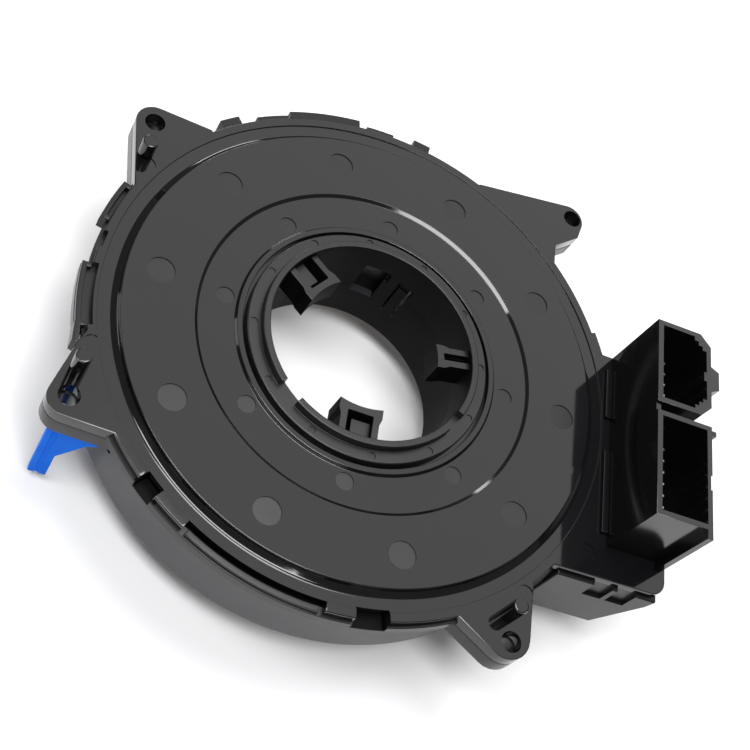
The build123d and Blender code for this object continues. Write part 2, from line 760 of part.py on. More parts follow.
def lock_pin():
    """Transport lock: a finger, a grip bar and the web between them."""
    high = lock_finger_top()
    low = plateau - lock_depth
    web_x = lock_finger_x - lock_web_set
    web_high, web_low = [high - drop for drop in lock_web_drop]
    points = [(lock_x[0], high), (lock_finger_x, high), (lock_finger_x, high - lock_finger_h),
              (web_x, web_high), (lock_x[1], web_low), (lock_x[1], low), (lock_x[0], low)]
    side = make_face(Polyline(*[(x, lock_y[0], z) for x, z in points], close=True))
    return extrude(side, lock_y[1] - lock_y[0], dir=(0, 1, 0))


pieces = {
    "stator_cover": stator_cover(),
    "stator_case": stator_case(),
    "terminal_lid": terminal_lid(),
    "socket_block": socket_block(),
    "upper_terminals": terminals(upper_pins),
    "lower_terminals": terminals(lower_pins),
    "stator_lead_block": lead_block(case_wall_in_r, skirt_in_r - loose_gap, *lead_angles),
    "bus_bars": bus_bars(),
    "outer_winding": winding(outer_path_r, cable_pitch, cable_turns),
    "glide_sheet": glide_sheet(),
    "rotor": rotor(),
    "sleeve": sleeve(),
    "inner_winding": winding(inner_coil_r, cable_pitch, cable_turns),
    "rotor_lead_block": lead_block(drum_in_r - rotor_lead_reach, drum_r, *rotor_lead_angles),
    "squib_socket": front_socket(squib_size, squib_angle),
    "squib_terminals": front_terminals(squib_size, squib_angle),
    "switch_socket": front_socket(switch_size, switch_angle),
    "switch_terminals": front_terminals(switch_size, switch_angle),
    "roller_carrier": roller_carrier(),
    "u_turn_cable": u_turn_cable(),
    "lock_pin": lock_pin(),
}
for index in range(roller_count):
    pieces[f"roller_{index + 1}"] = roller(index)

for name, solid in pieces.items():
    export_step(solid, f"parts/{name}.step")

coil_sum = inner_path_r + outer_path_r
print("carrier to rotor", round(inner_path_r / coil_sum, 4))
print("roller to rotor", round(-inner_path_r * outer_path_r / coil_sum / roller_r, 4))
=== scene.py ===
"""Steering clock spring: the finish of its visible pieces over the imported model, and a stage."""

import json
from math import atan2, ceil, cos, degrees, hypot, radians, sin, tan

import bmesh
import bpy
from mathutils import Euler, Matrix, Vector

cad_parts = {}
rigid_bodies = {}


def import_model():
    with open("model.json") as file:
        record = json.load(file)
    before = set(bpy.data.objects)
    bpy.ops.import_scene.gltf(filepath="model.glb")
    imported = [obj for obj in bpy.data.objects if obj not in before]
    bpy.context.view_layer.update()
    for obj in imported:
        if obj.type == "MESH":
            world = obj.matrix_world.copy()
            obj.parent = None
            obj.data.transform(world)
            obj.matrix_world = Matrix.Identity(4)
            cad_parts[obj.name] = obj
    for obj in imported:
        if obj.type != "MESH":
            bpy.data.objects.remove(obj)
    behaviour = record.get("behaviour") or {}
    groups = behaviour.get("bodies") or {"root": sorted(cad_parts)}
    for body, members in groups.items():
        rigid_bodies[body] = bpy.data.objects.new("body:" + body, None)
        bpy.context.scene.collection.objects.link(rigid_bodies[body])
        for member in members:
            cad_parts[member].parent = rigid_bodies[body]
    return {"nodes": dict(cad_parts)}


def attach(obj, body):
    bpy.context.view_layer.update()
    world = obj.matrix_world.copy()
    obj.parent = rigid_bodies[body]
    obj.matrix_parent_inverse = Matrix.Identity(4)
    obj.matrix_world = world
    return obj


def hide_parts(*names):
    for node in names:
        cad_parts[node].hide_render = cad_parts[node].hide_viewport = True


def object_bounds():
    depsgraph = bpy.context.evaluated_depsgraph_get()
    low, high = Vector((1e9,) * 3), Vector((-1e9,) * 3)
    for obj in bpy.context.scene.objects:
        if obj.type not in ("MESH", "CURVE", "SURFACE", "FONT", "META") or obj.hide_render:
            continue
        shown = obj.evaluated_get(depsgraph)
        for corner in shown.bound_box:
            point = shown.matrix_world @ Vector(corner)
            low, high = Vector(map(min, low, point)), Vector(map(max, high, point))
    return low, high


bl_info = {
    "name": "Steering Clock Spring",
    "version": (1, 0, 0),
    "blender": (4, 5, 0),
    "location": "3D View > Sidebar > Clock Spring",
    "description": "Models and finishes a steering clock spring over its packed frame",
    "category": "Object",
}

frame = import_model()
cad_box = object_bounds()

MM = 0.001

# Levels along the shaft, in millimetres above the mouth of the shaft bore
PLATEAU = 22.3
ANNULUS = PLATEAU - 0.46
BEAD_TOP = PLATEAU + 0.15
LIP_LOW = PLATEAU - 1.15
RIM = PLATEAU - 1.36
RING = RIM - 0.25
SEAM = PLATEAU - 3.0
COVER_UNDER = PLATEAU - 1.9
ANNULUS_UNDER = PLATEAU - 2.36
SPIGOT_LOW = SEAM - 1.2
COLLAR_LOW = SEAM - 2.4
EAR_SPLIT = PLATEAU - 4.2
EAR_LOW = EAR_SPLIT - 3.8
TAB_TOP = RIM - 0.4
CLIP_TOP = RIM - 1.0
POST_TOP = RIM - 0.5
FACE = 1.9
DISC_TOP = FACE + 1.5
SKIRT_TOP = COLLAR_LOW - 0.5
DRUM_TOP = PLATEAU - 2.8
TUBE_TOP = PLATEAU - 0.9
DRIVE_PIN_TIP = -7.7
SLEEVE_SEAT = PLATEAU - 7.1
SLEEVE_LOW = PLATEAU - 7.0
SLEEVE_FLANGE_LOW = PLATEAU - 0.8
SLEEVE_TOP = PLATEAU + 0.6
SLEEVE_LIP_TOP = PLATEAU + 2.4
SLEEVE_TAB = (PLATEAU - 5.0, PLATEAU + 1.0)
WINDOW_TOP = PLATEAU - 3.2
LATCH_TOP = PLATEAU - 4.2
BOX_BEND = SEAM - 3.0
BOX_LOW = PLATEAU - 18.7
SOCKET_LOW = RIM - 0.1
SOCKET_FLOOR = RIM + 2.3
SOCKET_TOP = PLATEAU + 16.0
PIN_FOOT = PLATEAU - 6.0
PIN_TIP = PLATEAU + 8.7
LOCK_TOP = EAR_LOW - 0.3
LOCK_LOW = PLATEAU - 27.2

# Radii inside the object, in millimetres
SPIGOT_IN, SPIGOT_OUT = 46.4, 47.6
CASE_LIP_IN, CASE_IN, CASE_OUT = 46.5, 47.9, 49.4
SKIRT_CLEAR, COLLAR_CLEAR, BOX_IN = 52.1, 52.7, 53.7
DRUM_IN, DRUM_OUT = 25.0, 26.5
SLEEVE_OUT, SLEEVE_SEAT_R = 21.7, 21.8

# Fineness of the shapes: degrees between facets, sides of round cutters, tolerance of a level
FACET = 1.5
FINE = 240
LEVEL = 1e-5

# How far a cutter runs past the face that it opens, in millimetres
PAST = 1.0


def hex_colour(code):
    """Linear colour of an sRGB hex value."""
    levels = [int(code[place:place + 2], 16) / 255 for place in (1, 3, 5)]
    linear = [c / 12.92 if c <= 0.04045 else ((c + 0.055) / 1.055) ** 2.4 for c in levels]
    return (*linear, 1.0)


def length(label, hint, value):
    """Length property with a default in millimetres."""
    return bpy.props.FloatProperty(name=label, description=hint, default=value * MM, min=0.0,
                                   unit="LENGTH", subtype="DISTANCE")


def shade(label, hint, code):
    """Colour property with an sRGB hex default."""
    return bpy.props.FloatVectorProperty(name=label, description=hint, default=hex_colour(code)[:3],
                                         size=3, min=0.0, max=1.0, subtype="COLOR")


class ClockSpringSizes(bpy.types.PropertyGroup):
    """Sizes of the visible pieces."""
    flange_r: length("Flange radius", "Outer radius of the cover's flange", 53.1)
    collar_r: length("Collar radius", "Outer radius of the case ring under the flange", 53.7)
    plateau_r: length("Plateau radius", "Radius of the raised plateau", 47.7)
    annulus_r: length("Annulus radius", "Radius of the sunk ring around the bore", 33.7)
    cover_bore_r: length("Cover bore radius", "Radius of the hole in the cover", 25.0)
    bead_w: length("Bead width", "Width of the bead around the cover's hole", 1.35)
    skirt_r: length("Skirt radius", "Outer radius of the rotor's skirt", 51.6)
    shaft_bore_r: length("Shaft bore radius", "Radius of the rotor's tube", 21.5)
    sleeve_bore_r: length("Sleeve bore radius", "Inner radius of the sleeve", 20.4)
    sleeve_flange_r: length("Sleeve flange radius", "Outer radius of the sleeve's flange", 24.3)
    tab_reach_r: length("Tab reach", "Radius that the sleeve's tabs reach in to", 13.8)
    ear_hole_r: length("Ear hole radius", "Radius of the cover's fixing holes", 2.0)
    dowel_r: length("Dowel radius", "Radius of the locating dowels", 1.5)
    large_mark_r: length("Large mark radius", "Radius of the ejector marks on the plateau", 2.65)
    small_mark_r: length("Small mark radius", "Radius of the ejector marks on the sunk ring", 1.75)
    mark_depth: length("Mark depth", "Depth of the ejector marks", 0.2)
    socket_wall: length("Socket wall", "Wall of the plug sockets", 1.1)
    edge: length("Edge rounding", "Rounding of the moulded edges", 0.22)


class ClockSpringColours(bpy.types.PropertyGroup):
    """Colours of the finishes."""
    cover: shade("Cover", "Glossy moulded cover", "#131315")
    mark: shade("Marks", "Scuffed ejector marks of the cover", "#19191b")
    case: shade("Case", "Moulded case", "#141416")
    # Skirt is painted a shade lighter than the case, as painted light from the bright floor that it
    # faces
    skirt: shade("Skirt", "Moulded skirt of the rotor", "#37373a")
    # Core is painted shade: a darker copy of the black plastic for faces deep in the tube, the
    # sleeve's bore and the rim's windows
    core: shade("Core", "Inside of the rotor's tube", "#0c0c0d")
    socket: shade("Sockets", "Moulded plug sockets", "#0f0f10")
    sleeve: shade("Sleeve", "Moulded sleeve", "#1a1a1b")
    lock: shade("Lock pin", "Moulded transport lock", "#0a7cf8")
    terminal: shade("Terminals", "Tin plated terminals", "#aaa596")
    acetal: shade("Acetal", "Rollers and their carrier", "#e4e2da")
    cable: shade("Cable", "Laminated flat cable", "#d8d2c0")
    squib: shade("Squib socket", "Socket of the airbag plug", "#e3a510")
    copper: shade("Bus bars", "Copper bus bars", "#c9825a")


def size(name):
    """A size from the panel, in millimetres."""
    return getattr(bpy.context.scene.clock_spring_sizes, name) / MM


def tint(name):
    """A colour from the panel, linear and opaque."""
    return (*getattr(bpy.context.scene.clock_spring_colours, name), 1.0)


# Outlines

def polar(r, angle):
    """Point at a radius and an angle."""
    return (r * cos(radians(angle)), r * sin(radians(angle)))


def arc(r, start, end):
    """Points along an arc, both ends included."""
    count = max(1, ceil(abs(end - start) / FACET))
    return [polar(r, start + (end - start) * index / count) for index in range(count + 1)]


def rounded(corners, steps=5):
    """Outline whose corners are points with a radius, from lists of x, y and radius."""
    points = []
    for index, (x, y, r) in enumerate(corners):
        if r <= 0:
            points.append((x, y))
            continue
        here = Vector((x, y))
        before = (Vector(corners[index - 1][:2]) - here).normalized()
        after = (Vector(corners[(index + 1) % len(corners)][:2]) - here).normalized()
        half = before.angle(after) / 2
        reach = r / tan(half)
        centre = here + (before + after).normalized() * (reach ** 2 + r ** 2) ** 0.5
        first = (here + before * reach - centre).normalized()
        last = (here + after * reach - centre).normalized()
        for step in range(steps + 1):
            points.append(tuple(centre + first.slerp(last, step / steps) * r))
    return points


def sector(r_in, r_out, start, end):
    """Outline of a stretch of ring."""
    return arc(r_out, start, end) + arc(r_in, end, start)


def slab(x_range, y_range):
    """Outline of a rectangle."""
    return [(x_range[0], y_range[0]), (x_range[1], y_range[0]),
            (x_range[1], y_range[1]), (x_range[0], y_range[1])]


# Solids, in millimetres until they are finished

def soften(bm, edges, offset, segments=2):
    """Rounds some edges of a solid."""
    bmesh.ops.bevel(bm, geom=edges, offset=offset, offset_type="OFFSET", segments=segments,
                    profile=0.5, affect="EDGES", clamp_overlap=False, material=-1)


def edges_at(bm, levels):
    """Edges of a solid that lie flat at one of some levels."""
    return [e for e in bm.edges for z in levels
            if all(abs(v.co.z - z) < LEVEL for v in e.verts)]


def pushed(points, vec):
    """Solid from a flat outline that is pushed along a vector."""
    bm = bmesh.new()
    face = bm.faces.new([bm.verts.new(point) for point in points])
    made = bmesh.ops.extrude_face_region(bm, geom=[face])
    far = [item for item in made["geom"] if isinstance(item, bmesh.types.BMVert)]
    bmesh.ops.translate(bm, verts=far, vec=vec)
    bmesh.ops.recalc_face_normals(bm, faces=bm.faces)
    return bm


def plate(outline, z_low, z_high, edge=0.0, both=False):
    """Solid that stands on an outline, with rounded top edges, or rounded edges at both ends."""
    bm = pushed([(x, y, z_low) for x, y in outline], (0, 0, z_high - z_low))
    if edge:
        soften(bm, edges_at(bm, [z_high, z_low] if both else [z_high]), edge)
    return bm


def side_solid(corners, y_low, y_high, edge=0.0, segments=2):
    """Solid between two planes across the object, from an outline of x and level."""
    bm = pushed([(x, y_low, z) for x, z in corners], (0, y_high - y_low, 0))
    if edge:
        soften(bm, list(bm.edges), edge, segments)
    return bm


def turned(profile):
    """Solid turned about the shaft's axis from an outline of radius and level."""
    bm = bmesh.new()
    verts = [bm.verts.new((r, 0, z)) for r, z in profile]
    edges = [bm.edges.new((verts[index - 1], verts[index])) for index in range(len(verts))]
    bmesh.ops.spin(bm, geom=verts + edges, cent=(0, 0, 0), axis=(0, 0, 1), angle=radians(360.0),
                   steps=ceil(360.0 / FACET), use_merge=True, use_duplicate=False)
    bmesh.ops.recalc_face_normals(bm, faces=bm.faces)
    return bm


def rod(x, y, r, z_low, z_high, edge=0.0, segments=32):
    """Round rod along the shaft, with a rounded top."""
    bm = bmesh.new()
    bmesh.ops.create_cone(bm, cap_ends=True, segments=segments, radius1=r, radius2=r,
                          depth=z_high - z_low)
    bmesh.ops.translate(bm, verts=bm.verts, vec=(x, y, (z_low + z_high) / 2))
    if edge:
        soften(bm, edges_at(bm, [z_high]), edge)
    return bm


def block(x_range, y_range, z_range, edge=0.0):
    """Box between pairs of limits, with all edges rounded."""
    bm = bmesh.new()
    bmesh.ops.create_cube(bm, size=1.0)
    spans = [high - low for low, high in (x_range, y_range, z_range)]
    middle = [(high + low) / 2 for low, high in (x_range, y_range, z_range)]
    bmesh.ops.scale(bm, verts=bm.verts, vec=spans)
    bmesh.ops.translate(bm, verts=bm.verts, vec=middle)
    if edge:
        soften(bm, list(bm.edges), edge)
    return bm


def swung(bm, angle):
    """A solid turned about the shaft's axis."""
    turn = Matrix.Rotation(radians(angle), 3, "Z")
    bmesh.ops.rotate(bm, verts=bm.verts, cent=(0, 0, 0), matrix=turn)
    return bm


def copied(mesh):
    """A solid from a mesh, which is then removed."""
    bm = bmesh.new()
    bm.from_mesh(mesh)
    bpy.data.meshes.remove(mesh)
    return bm


def mesh_of(bm, name):
    """Mesh from a solid, which is then freed."""
    mesh = bpy.data.meshes.new(name)
    bm.to_mesh(mesh)
    bm.free()
    return mesh


def one_mesh(solids):
    """Mesh that holds several separate solids."""
    whole = bmesh.new()
    for solid in solids:
        mesh = mesh_of(solid, "solid")
        whole.from_mesh(mesh)
        bpy.data.meshes.remove(mesh)
    return mesh_of(whole, "solids")


def helper(bm, name, group):
    """Object in a collection that holds a solid for a while."""
    obj = bpy.data.objects.new(name, mesh_of(bm, name))
    group.objects.link(obj)
    return obj


def applied(obj):
    """Mesh of an object with its modifiers carried out."""
    graph = bpy.context.evaluated_depsgraph_get()
    return bpy.data.meshes.new_from_object(obj.evaluated_get(graph))


def combined(solids, cuts):
    """One mesh from solids that are joined and then cut."""
    scene_group = bpy.context.scene.collection
    base = helper(solids[0], "base", scene_group)
    groups = []
    for operation, members in (("UNION", solids[1:]), ("DIFFERENCE", cuts)):
        if not members:
            continue
        group = bpy.data.collections.new(operation.lower())
        scene_group.children.link(group)
        for member in members:
            helper(member, "member", group)
        boolean = base.modifiers.new(operation.lower(), "BOOLEAN")
        boolean.operation = operation
        boolean.solver = "EXACT"
        boolean.operand_type = "COLLECTION"
        boolean.collection = group
        groups.append(group)
    mesh = applied(base)
    for group in groups:
        for obj in list(group.objects):
            bpy.data.objects.remove(obj)
        bpy.data.collections.remove(group)
    bpy.data.objects.remove(base)
    return mesh


# Angle in degrees from which an edge stays sharp
SHARP_TURN = 38.0


def finished(mesh, name, body, material, nodes):
    """Piece in metres, smooth between its sharp edges, riding on its body with its material."""
    mesh.name = name
    mesh.transform(Matrix.Scale(MM, 4))
    mesh.materials.clear()
    mesh.materials.append(material)
    mesh.polygons.foreach_set("use_smooth", [True] * len(mesh.polygons))
    mesh.set_sharp_from_angle(angle=radians(SHARP_TURN))
    piece = bpy.data.objects.new(name, mesh)
    bpy.context.scene.collection.objects.link(piece)
    weighted = piece.modifiers.new("face weights", "WEIGHTED_NORMAL")
    weighted.mode = "FACE_AREA"
    weighted.weight = 80
    weighted.keep_sharp = True
    piece.data = applied(piece)
    piece.modifiers.clear()
    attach(piece, body)
    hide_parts(*nodes)
    return piece


def repaint(piece, material, test):
    """Gives the faces that pass a test another material."""
    if material.name not in piece.data.materials:
        piece.data.materials.append(material)
    index = piece.data.materials.find(material.name)
    for face in piece.data.polygons:
        if test(face):
            face.material_index = index


# Materials

def new_material(name):
    """Empty node material."""
    material = bpy.data.materials.new(name)
    material.use_nodes = True
    material.node_tree.nodes.clear()
    return material


def add(tree, kind, inputs=None, **settings):
    """Adds a node with its settings, its values and the links to its inputs."""
    node = tree.nodes.new(kind)
    for key, value in settings.items():
        setattr(node, key, value)
    for key, value in (inputs or {}).items():
        if isinstance(value, bpy.types.NodeSocket):
            tree.links.new(value, node.inputs[key])
        else:
            node.inputs[key].default_value = value
    return node


def per_mm(pattern_size):
    """Texture scale for a pattern of a size in millimetres on coordinates in metres."""
    return 1.0 / (pattern_size * MM)


# Size in millimetres of the patches of gloss and tone that the melt's flow leaves
FLOW_PATCH = 14.0


def moulded(name, colour, roughness, spread, grain, relief, cloud=0.25, ior=1.5):
    """Injection moulded plastic: cloudy gloss from the mould's polish and a fine grain."""
    if name in bpy.data.materials:
        return bpy.data.materials[name]
    material = new_material(name)
    tree = material.node_tree
    place = add(tree, "ShaderNodeTexCoord").outputs["Object"]
    flow = add(tree, "ShaderNodeTexNoise", {
        "Vector": place, "Scale": per_mm(FLOW_PATCH), "Detail": 3.0,
        "Roughness": 0.55}).outputs["Fac"]
    fine = add(tree, "ShaderNodeTexNoise", {
        "Vector": place, "Scale": per_mm(grain), "Roughness": 0.6}).outputs["Fac"]
    rough = add(tree, "ShaderNodeMapRange", {
        "Value": flow, "From Min": 0.3, "From Max": 0.7, "To Min": roughness - spread,
        "To Max": roughness + spread})
    darker = tuple(channel * (1 - cloud) for channel in colour[:3]) + (1.0,)
    base = add(tree, "ShaderNodeMix", {"Factor": flow, "A": darker, "B": colour}, data_type="RGBA")
    bump = add(tree, "ShaderNodeBump", {"Height": fine, "Strength": 0.6, "Distance": relief * MM})
    shader = add(tree, "ShaderNodeBsdfPrincipled", {
        "Base Color": base.outputs["Result"], "Roughness": rough.outputs["Result"],
        "Normal": bump.outputs["Normal"], "IOR": ior})
    add(tree, "ShaderNodeOutputMaterial", {"Surface": shader.outputs["BSDF"]})
    return material


def polished_abs():
    """Cover: ABS from a polished mould, which mirrors the room almost sharply."""
    return moulded("glossy_moulded_abs", tint("cover"), roughness=0.07, spread=0.02, grain=1.6,
                   relief=0.0006, ior=1.54)


def marked_abs():
    """Ejector marks of the cover: the pin's turned end leaves the plastic duller."""
    return moulded("ejector_marked_abs", tint("mark"), roughness=0.34, spread=0.08, grain=0.35,
                   relief=0.014, ior=1.5)


def satin_pbt():
    """Case and terminal lid: glass-filled PBT, whose fibres leave a satin grain."""
    return moulded("satin_moulded_pbt", tint("case"), roughness=0.32, spread=0.05, grain=0.35,
                   relief=0.004, ior=1.42)


def skirt_pbt_painted_light():
    """Rotor's skirt: the same plastic from a duller mould, a shade greyer as painted light from the
    bright floor that it faces.
    """
    return moulded("dull_moulded_pbt", tint("skirt"), roughness=0.38, spread=0.05, grain=0.35,
                   relief=0.004, ior=1.52)


def shaded_recess_pbt():
    """Painted shade for faces deep in the tube, the sleeve's bore and the rim's windows: the same
    plastic, smooth, matt and dark.
    """
    return moulded("core_moulded_pbt", tint("core"), roughness=0.6, spread=0.05, grain=0.4,
                   relief=0.002, ior=1.2)


def socket_pbt():
    """Plug sockets: PBT with a fairly smooth mould face."""
    return moulded("socket_moulded_pbt", tint("socket"), roughness=0.13, spread=0.03, grain=0.6,
                   relief=0.001, ior=1.62)


def sleeve_pom():
    """Sleeve: acetal, slippery and half glossy."""
    return moulded("sleeve_moulded_acetal", tint("sleeve"), roughness=0.32, spread=0.06,
                   grain=0.6, relief=0.004, ior=1.5)


def natural_acetal():
    """Rollers, carrier, lead blocks and switch socket: undyed acetal, milky and waxy."""
    return moulded("natural_acetal", tint("acetal"), roughness=0.38, spread=0.05, grain=0.5,
                   relief=0.003, cloud=0.05, ior=1.48)


def squib_pbt():
    """Socket of the airbag plug: dyed PBT."""
    return moulded("dyed_moulded_pbt", tint("squib"), roughness=0.36, spread=0.05, grain=0.4,
                   relief=0.003, cloud=0.08)


def cable_film():
    """Flat cable: copper tracks that show through a pale laminated film."""
    track_pitch, tone_patch = 1.6, 6.0
    material = new_material("laminated_cable_film")
    tree = material.node_tree
    place = add(tree, "ShaderNodeTexCoord").outputs["Object"]
    height = add(tree, "ShaderNodeSeparateXYZ", {"Vector": place}).outputs["Z"]
    tracks = add(tree, "ShaderNodeMath", {0: height, 1: per_mm(track_pitch)},
                 operation="MULTIPLY")
    wave = add(tree, "ShaderNodeMath", {0: tracks.outputs[0]}, operation="FRACT")
    track = add(tree, "ShaderNodeMapRange", {
        "Value": wave.outputs[0], "From Min": 0.42, "From Max": 0.5})
    cloud = add(tree, "ShaderNodeTexNoise", {
        "Vector": place, "Scale": per_mm(tone_patch)}).outputs["Fac"]
    copper = add(tree, "ShaderNodeMix", {
        "Factor": cloud, "A": hex_colour("#b98a5e"), "B": hex_colour("#cfa677")},
        data_type="RGBA")
    colour = add(tree, "ShaderNodeMix", {
        "Factor": track.outputs["Result"], "A": tint("cable"), "B": copper.outputs["Result"]},
        data_type="RGBA")
    shader = add(tree, "ShaderNodeBsdfPrincipled", {
        "Base Color": colour.outputs["Result"], "Roughness": 0.3})
    add(tree, "ShaderNodeOutputMaterial", {"Surface": shader.outputs["BSDF"]})
    return material


def dyed_lock_plastic():
    """Lock pin: blue polypropylene, slightly see-through, so light spreads inside it."""
    flow_patch, grain, relief = 5.0, 0.5, 0.003
    material = new_material("dyed_polypropylene")
    tree = material.node_tree
    place = add(tree, "ShaderNodeTexCoord").outputs["Object"]
    flow = add(tree, "ShaderNodeTexNoise", {"Vector": place, "Scale": per_mm(flow_patch)})
    colour = add(tree, "ShaderNodeMix", {
        "Factor": flow.outputs["Fac"], "A": hex_colour("#0862e0"), "B": tint("lock")},
        data_type="RGBA")
    fine = add(tree, "ShaderNodeTexNoise", {"Vector": place, "Scale": per_mm(grain)})
    bump = add(tree, "ShaderNodeBump", {
        "Height": fine.outputs["Fac"], "Strength": 0.5, "Distance": relief * MM})
    shader = add(tree, "ShaderNodeBsdfPrincipled", {
        "Base Color": colour.outputs["Result"], "Roughness": 0.42,
        "Normal": bump.outputs["Normal"], "IOR": 1.12, "Subsurface Weight": 0.1,
        "Subsurface Radius": (0.4, 0.6, 1.5), "Subsurface Scale": 1.0 * MM})
    add(tree, "ShaderNodeOutputMaterial", {"Surface": shader.outputs["BSDF"]})
    return material


def plated(name, colour, roughness):
    """Bright metal with fine rolling marks along the shaft."""
    mark_width, mark_stretch, spread = 0.15, 0.08, 0.08
    if name in bpy.data.materials:
        return bpy.data.materials[name]
    material = new_material(name)
    tree = material.node_tree
    place = add(tree, "ShaderNodeTexCoord").outputs["Object"]
    stretched = add(tree, "ShaderNodeMapping", {
        "Vector": place, "Scale": (1.0, 1.0, mark_stretch)})
    marks = add(tree, "ShaderNodeTexNoise", {
        "Vector": stretched.outputs["Vector"], "Scale": per_mm(mark_width)})
    rough = add(tree, "ShaderNodeMapRange", {
        "Value": marks.outputs["Fac"], "To Min": roughness - spread,
        "To Max": roughness + spread})
    shader = add(tree, "ShaderNodeBsdfPrincipled", {
        "Base Color": colour, "Metallic": 1.0, "Roughness": rough.outputs["Result"]})
    add(tree, "ShaderNodeOutputMaterial", {"Surface": shader.outputs["BSDF"]})
    return material


def tin_plate():
    """Terminals: brass with a tin plating."""
    return plated("tin_plated_brass", tint("terminal"), roughness=0.36)


def bare_copper():
    """Bus bars: punched copper strip."""
    return plated("punched_copper", tint("copper"), roughness=0.32)


def white_paper():
    """Floor: matt white with the object's shadow, lifted a little where the camera sees it."""
    material = new_material("white_paper")
    tree = material.node_tree
    paper = add(tree, "ShaderNodeBsdfDiffuse", {
        "Color": hex_colour("#f7f7f8"), "Roughness": 0.6})
    glow = add(tree, "ShaderNodeEmission", {"Color": WHITE, "Strength": FLOOR_LIFT})
    both = add(tree, "ShaderNodeAddShader", {
        0: paper.outputs["BSDF"], 1: glow.outputs["Emission"]})
    rays = add(tree, "ShaderNodeLightPath")
    seen = add(tree, "ShaderNodeMath", {
        0: rays.outputs["Is Camera Ray"], 1: rays.outputs["Is Glossy Ray"]},
        operation="MAXIMUM")
    surface = add(tree, "ShaderNodeMixShader", {
        0: seen.outputs[0], 1: paper.outputs["BSDF"], 2: both.outputs["Shader"]})
    add(tree, "ShaderNodeOutputMaterial", {"Surface": surface.outputs["Shader"]})
    return material


def dress(names, material):
    """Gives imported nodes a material."""
    for name in names:
        node = frame["nodes"][name]
        for slot in node.material_slots:
            slot.material = material


# Ears: direction in degrees, then corners as reach beyond the flange, distance along it, radius
FLANGE_R = 53.1
EARS = {
    "a": (145.1, [(-2.7, 14.2, 0), (12.8, -0.7, 3.8), (-0.4, -9.0, 0), (-14.8, -2.5, 0)]),
    "b": (49.8, [(-2.5, 17.0, 0), (17.5, -0.4, 3.5), (9.8, -4.2, 0), (3.3, -2.9, 1.5),
                 (-2.2, -7.5, 0), (-14.7, 1.0, 0)]),
    "c": (-151.1, [(-3.2, -13.4, 0), (0.8, -9.8, 0), (11.0, 1.1, 3.6), (-2.3, 9.2, 0),
                   (-17.2, 3.0, 0)]),
    "d": (-54.9, [(-2.1, -8.2, 0), (15.0, -0.9, 4.5), (-3.2, 11.9, 0), (-18.0, 4.7, 0)]),
}
EAR_HOLE_REACH = {"a": 6.7, "b": 12.1, "c": 5.0, "d": 7.1}
CASE_HOLE_R = 1.7

# Dowels: ear, reach beyond the flange, distance along it, height
DOWEL_PLACES = [("a", 2.3, 6.8, 4.3), ("c", 2.7, -4.0, 6.4), ("d", 2.5, 2.0, 5.2)]
DOWEL_FOOT = 1.0
DOWEL_DROP = 0.04
DOWEL_TIP = 0.4


def ear_place(name, reach, along):
    """Point in the plane from an ear's reach beyond the flange and the distance along it."""
    turn = radians(EARS[name][0])
    r = FLANGE_R + reach
    return (r * cos(turn) - along * sin(turn), r * sin(turn) + along * cos(turn))


def ear_outline(name):
    """Outline of an ear with its rounded corners."""
    corners = [(*ear_place(name, reach, along), r) for reach, along, r in EARS[name][1]]
    return rounded(corners, steps=8)


EAR_HOLES = {name: ear_place(name, reach, 0.0) for name, reach in EAR_HOLE_REACH.items()}
DOWELS = [(*ear_place(name, reach, along), height) for name, reach, along, height in DOWEL_PLACES]

# Details of the rim, as pairs of angles in degrees
RIM_TABS = [(127.5, 132.0), (99.0, 115.3), (82.0, 86.0)]
RIM_CLIPS = [(115.8, 123.0), (90.6, 97.0)]
RIM_LOOPS = [(160.0, 170.0), (-179.0, -165.0)]
RIM_WINDOWS = [(-133.0, -128.4), (-84.5, -77.5)]
RIM_SLOT = (-121.0, -90.5)
RIM_NOTCH = (173.0, 177.0)
SIDE_TAB = (13.0, 25.0)
POST_TURN = 1.0
TAB_R, CLIP_R = 55.1, 54.6
LOOP_IN, LOOP_OUT, LOOP_ROOT = 53.9, 54.9, 55.0

# Ledge under the plugs: corners as x, y and radius
LEDGE = [(66.3, -32.0, 3.0), (66.3, 17.8, 0.6), (40.0, 17.8, 0), (40.0, -32.0, 0)]

# Limits of the two plug sockets
UPPER_Y = (-1.3, 17.5)
LOWER_Y = (-25.2, -3.1)
NEAR_X = 53.1
OUTER_X = 65.2

# Terminals in the sockets
PIN_X = NEAR_X + 6.0
PIN_HALF = 0.32
PIN_PITCH = 2.5
PIN_POINT = 0.4
TERMINALS = (("upper", UPPER_Y, 5), ("lower", LOWER_Y, 7))

# Width of the raised band at the cover's rim, in millimetres
BAND_W = 1.8


def cover_profile():
    """Half section of the cover, as corners of radius, level and rounding."""
    bore, bead = size("cover_bore_r"), size("bead_w")
    plateau_r, annulus_r, flange_r = size("plateau_r"), size("annulus_r"), size("flange_r")
    band_r = flange_r - BAND_W
    lip_r = bore - 1.4
    return [
        (lip_r, LIP_LOW, 0), (bore, LIP_LOW, 0), (bore, BEAD_TOP, 0.2),
        (bore + bead - 0.2, BEAD_TOP, 0.25), (bore + bead + 0.1, ANNULUS, 0.25),
        (annulus_r - 0.35, ANNULUS, 0.3), (annulus_r + 0.35, PLATEAU, 0.3),
        (plateau_r - 0.1, PLATEAU, 0.25), (plateau_r, RING + 0.62, 0.4),
        (plateau_r + 1.15, RING, 1.4), (band_r - 0.02, RING, 0.05), (band_r, RIM, 0.08),
        (flange_r, RIM, size("edge")), (flange_r, SEAM, 0), (SPIGOT_OUT, SEAM, 0),
        (SPIGOT_OUT, SPIGOT_LOW, 0), (SPIGOT_IN, SPIGOT_LOW, 0), (SPIGOT_IN, COVER_UNDER, 0),
        (34.6, COVER_UNDER, 0), (34.0, ANNULUS_UNDER, 0), (lip_r, ANNULUS_UNDER, 0),
    ]


